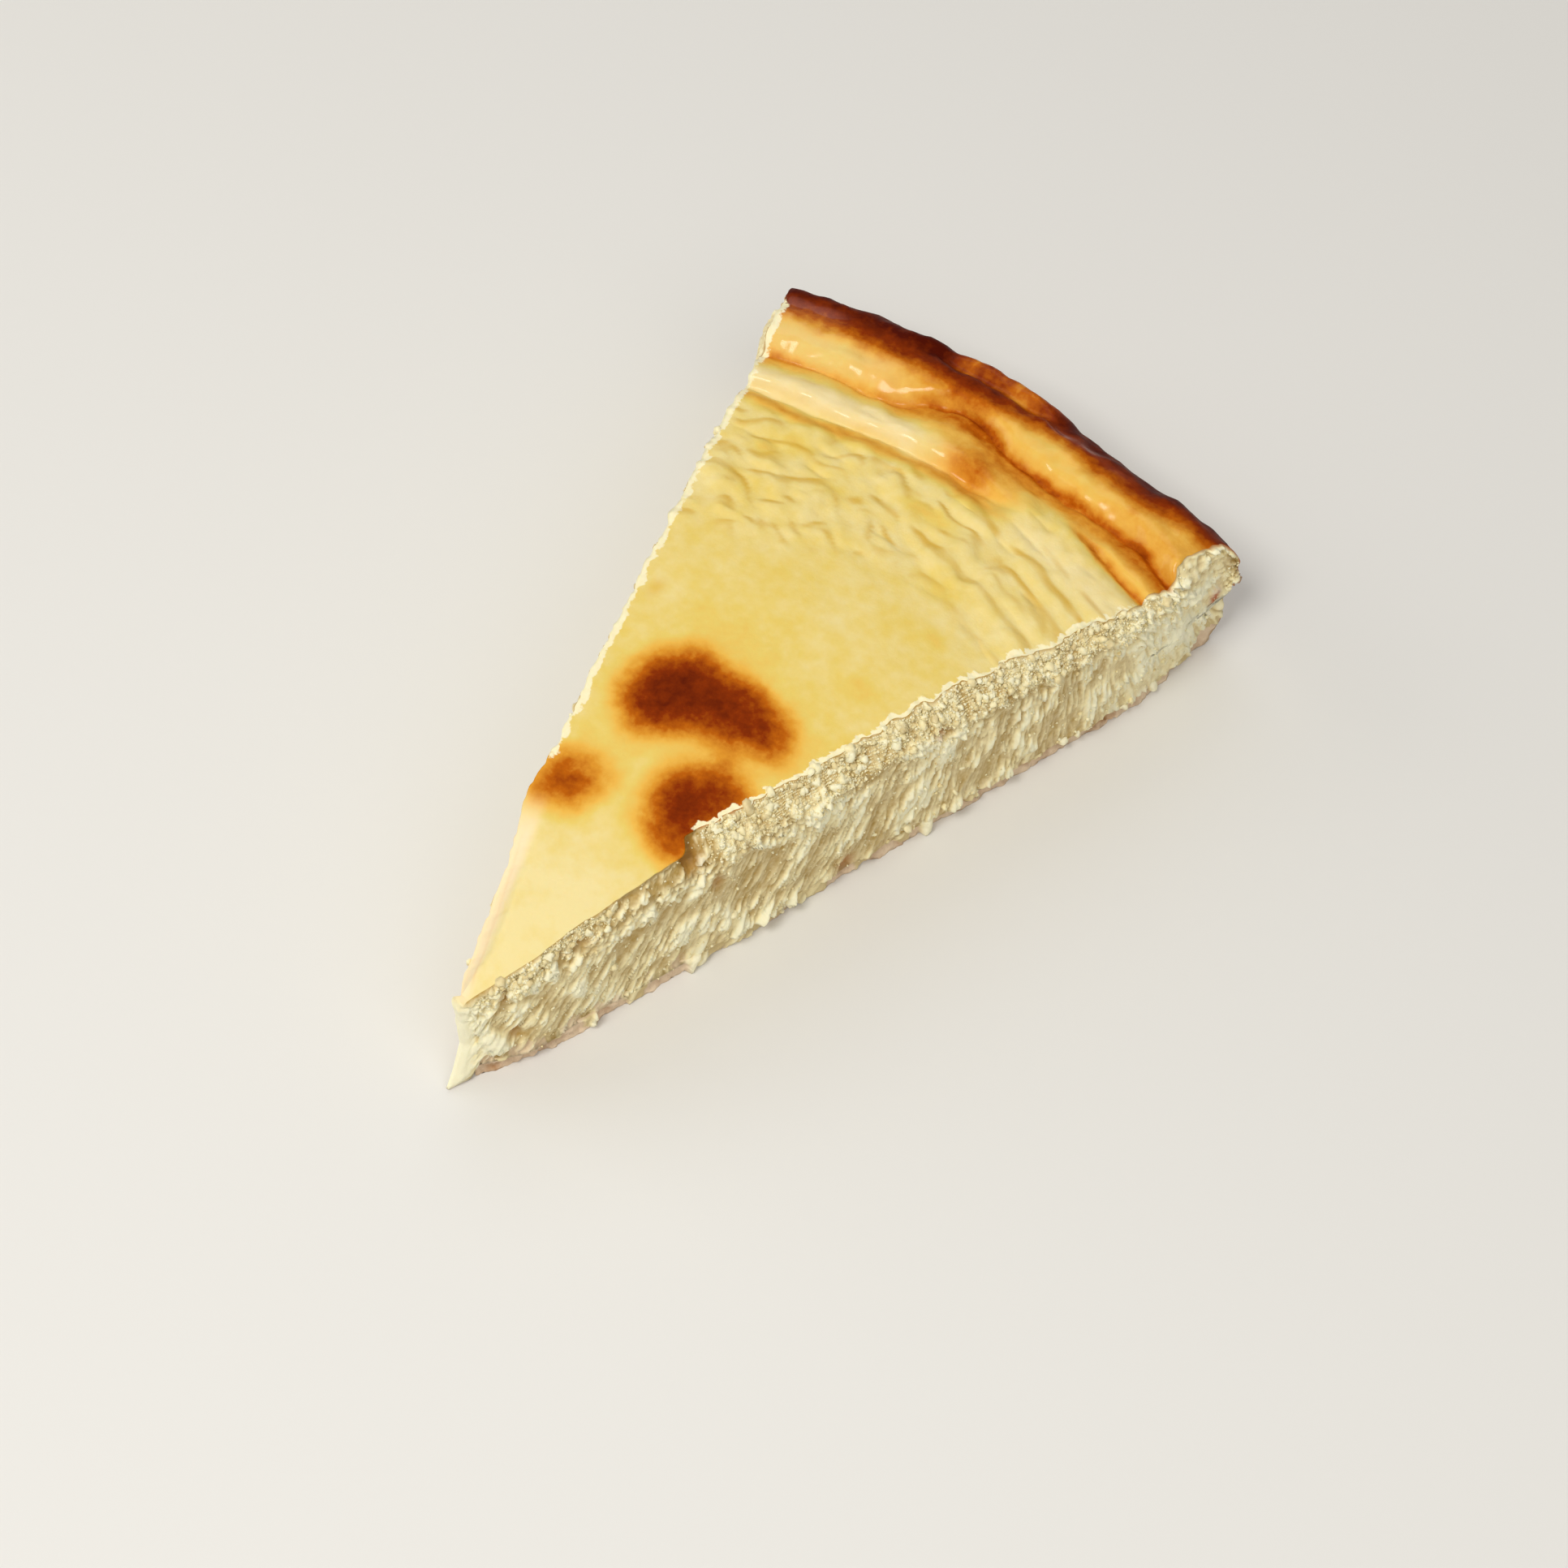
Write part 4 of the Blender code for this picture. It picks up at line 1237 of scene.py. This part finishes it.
def make_pastry(material):
    """The pastry shell, with a crumbly, uneven edge and filling dragged over its front."""
    i, j, k, sheets = lattice_shell(PASTRY_COLUMNS + 1, len(PASTRY_STATIONS), len(PASTRY_LEVELS))
    across, station, level = i / PASTRY_COLUMNS, PASTRY_STATIONS[j], PASTRY_LEVELS[k]
    radius, angle, height = place_pastry(across, station, level)
    points = to_slice(radius, angle, height)
    faces = np.concatenate(sheets)
    normals = vertex_normals(points, faces)
    normals[:, 2] = np.where(height < 0.5, 0.0, normals[:, 2])
    front = i == PASTRY_COLUMNS
    edge = front | (i == 0)
    relief, filling, streaks = np.zeros((3, len(points)))
    relief[edge] = waves(points[edge], (0.35, 1.6), 4) - 0.2
    relief[edge] += 0.35 * curds(points[edge] / 1.3, 0.0)
    filling[front] = dragged(radius[front], height[front])
    streaks[front] = fingers(radius[front], height[front])
    relief += filling * (0.15 + 1.0 * streaks - relief)
    piece = new_piece("pastry_shell", points + normals * relief[:, None], faces)
    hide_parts("pastry_base")
    give_attribute(piece, "baked", (k == 0) * ramp(station, CORNER_START, RIM_RADIUS))
    give_attribute(piece, "dragged", filling)
    give_attribute(piece, "raised", streaks)
    piece.data.materials.append(material)


def ball(subdivisions):
    """Points and triangles of a unit ball."""
    shape = bmesh.new()
    bmesh.ops.create_icosphere(shape, subdivisions=subdivisions, radius=1.0)
    points = np.array([v.co for v in shape.verts])
    faces = np.array([[v.index for v in f.verts] for f in shape.faces])
    shape.free()
    return points, faces


def crumb_chance(radius, depth):
    """How likely a crumb lies at each point of a cut."""
    bands = (
        share * plateau(radius, rise, fall) * hill(depth - middle, spread)
        for share, rise, fall, middle, spread in CRUMB_BANDS
    )
    chance = sum(bands) + 0.008 * ramp(radius, 5.0, 12.0)
    return chance / chance.sum()


def make_crumbs(filling, material):
    """Loose crumbs of all sizes along both cuts, and many tiny ones."""
    chance = np.random.default_rng(71)
    all_points = []
    all_faces = []
    raised = []
    coarse = ball(2)
    tiny = ball(1)
    for side, count, (unit, triangles), least, most in (
        (filling.front, 900, coarse, 0.16, 0.7),
        (filling.front, 5300, tiny, 0.12, 0.27),
        (filling.left, 60, coarse, 0.2, 0.6),
    ):
        points, normals = filling.points[side], filling.normals[side]
        likely = crumb_chance(filling.radius[side], filling.depth[side])
        for spot in chance.choice(len(points), count, replace=False, p=likely):
            size = least + (most - least) * chance.random() ** 3.0
            lumps = 1.0 + waves(unit + chance.uniform(0.0, 90.0, 3), (0.7, 0.9), 2)
            shape = unit * lumps[:, None] * chance.uniform(0.7, 1.3, 3)
            turn = Matrix.Rotation(chance.uniform(0.0, math.tau), 3, Vector(chance.standard_normal(3)))
            centre = points[spot] + normals[spot] * size * chance.uniform(-0.3, 0.5)
            all_faces.append(triangles + sum(len(one) for one in raised))
            all_points.append(shape @ np.array(turn).T * size + centre)
            raised.append(np.full(len(unit), chance.uniform(0.35, 0.95)))
    piece = new_piece("crumbs", np.concatenate(all_points), np.concatenate(all_faces))
    give_attribute(piece, "raised", np.concatenate(raised))
    piece.data.materials.append(material)


def make_floor():
    mesh = bpy.data.meshes.new("floor")
    corners = [(x * FLOOR_REACH, y * FLOOR_REACH, 0.0) for x, y in ((-1, -1), (1, -1), (1, 1), (-1, 1))]
    mesh.from_pydata(corners, [], [(0, 1, 2, 3)])
    floor = bpy.data.objects.new("floor", mesh)
    bpy.context.scene.collection.objects.link(floor)
    surface = Surface("floor")
    surface.set(Base_Color=FLOOR_COLOUR, Roughness=0.7)
    mesh.materials.append(surface.material)


def make_light(name, direction, distance, size, power, colour):
    """A square studio light that looks at the slice."""
    light = bpy.data.lights.new(name, "AREA")
    light.size = size
    light.energy = power
    light.color = colour
    lamp = bpy.data.objects.new(name, light)
    towards = Vector(direction).normalized()
    lamp.location = towards * distance
    lamp.rotation_euler = towards.to_track_quat("Z", "Y").to_euler()
    bpy.context.scene.collection.objects.link(lamp)


def make_stage():
    """Pale floor, two soft windows in front and behind, weaker light from both sides and a bright room."""
    make_floor()
    make_light("window", (0.02, -0.5, 0.865), 0.9, 0.28, 3.9, (1.0, 0.98, 0.94))
    make_light("back window", (-0.36, 0.42, 0.83), 0.9, 0.55, 1.1, (1.0, 0.98, 0.95))
    make_light("fill", (0.6, -0.3, 0.74), 1.2, 0.9, 3.8, (1.0, 0.98, 0.95))
    make_light("left fill", (-0.85, -0.35, 0.4), 0.9, 0.6, 1.7, (1.0, 0.97, 0.92))
    world = bpy.data.worlds.new("room")
    world.use_nodes = True
    background = world.node_tree.nodes["Background"]
    background.inputs["Color"].default_value = (1.0, 0.98, 0.95, 1.0)
    background.inputs["Strength"].default_value = 0.27
    bpy.context.scene.world = world
    bpy.context.scene.view_settings.view_transform = "Standard"


def make_camera():
    """The photographer's view: from the front right, high up, with the frame turned a little."""
    target = Vector((5.266, 0.048, 0.0)) * MM
    distance = 465.4 * MM
    azimuth = math.radians(36.3)
    elevation = math.radians(56.09)
    roll = math.radians(1.83)
    back = Vector(
        (
            math.sin(azimuth) * math.cos(elevation),
            -math.cos(azimuth) * math.cos(elevation),
            math.sin(elevation),
        )
    )
    level = Vector((math.cos(azimuth), math.sin(azimuth), 0.0))
    upward = back.cross(level)
    right = math.cos(roll) * level + math.sin(roll) * upward
    up = math.cos(roll) * upward - math.sin(roll) * level
    camera = bpy.data.objects.new("camera", bpy.data.cameras.new("camera"))
    camera.data.lens = 74.53
    camera.data.sensor_width = 36.0
    camera.matrix_world = Matrix.LocRotScale(
        target + back * distance, Matrix((right, up, back)).transposed().to_quaternion(), None
    )
    bpy.context.scene.collection.objects.link(camera)
    bpy.context.scene.camera = camera


def build():
    make_camera()
    make_stage()
    cut = cut_material("cut_filling")
    filling = make_filling(skin_material(), cut)
    make_pastry(pastry_material())
    make_crumbs(filling, cut)


build()
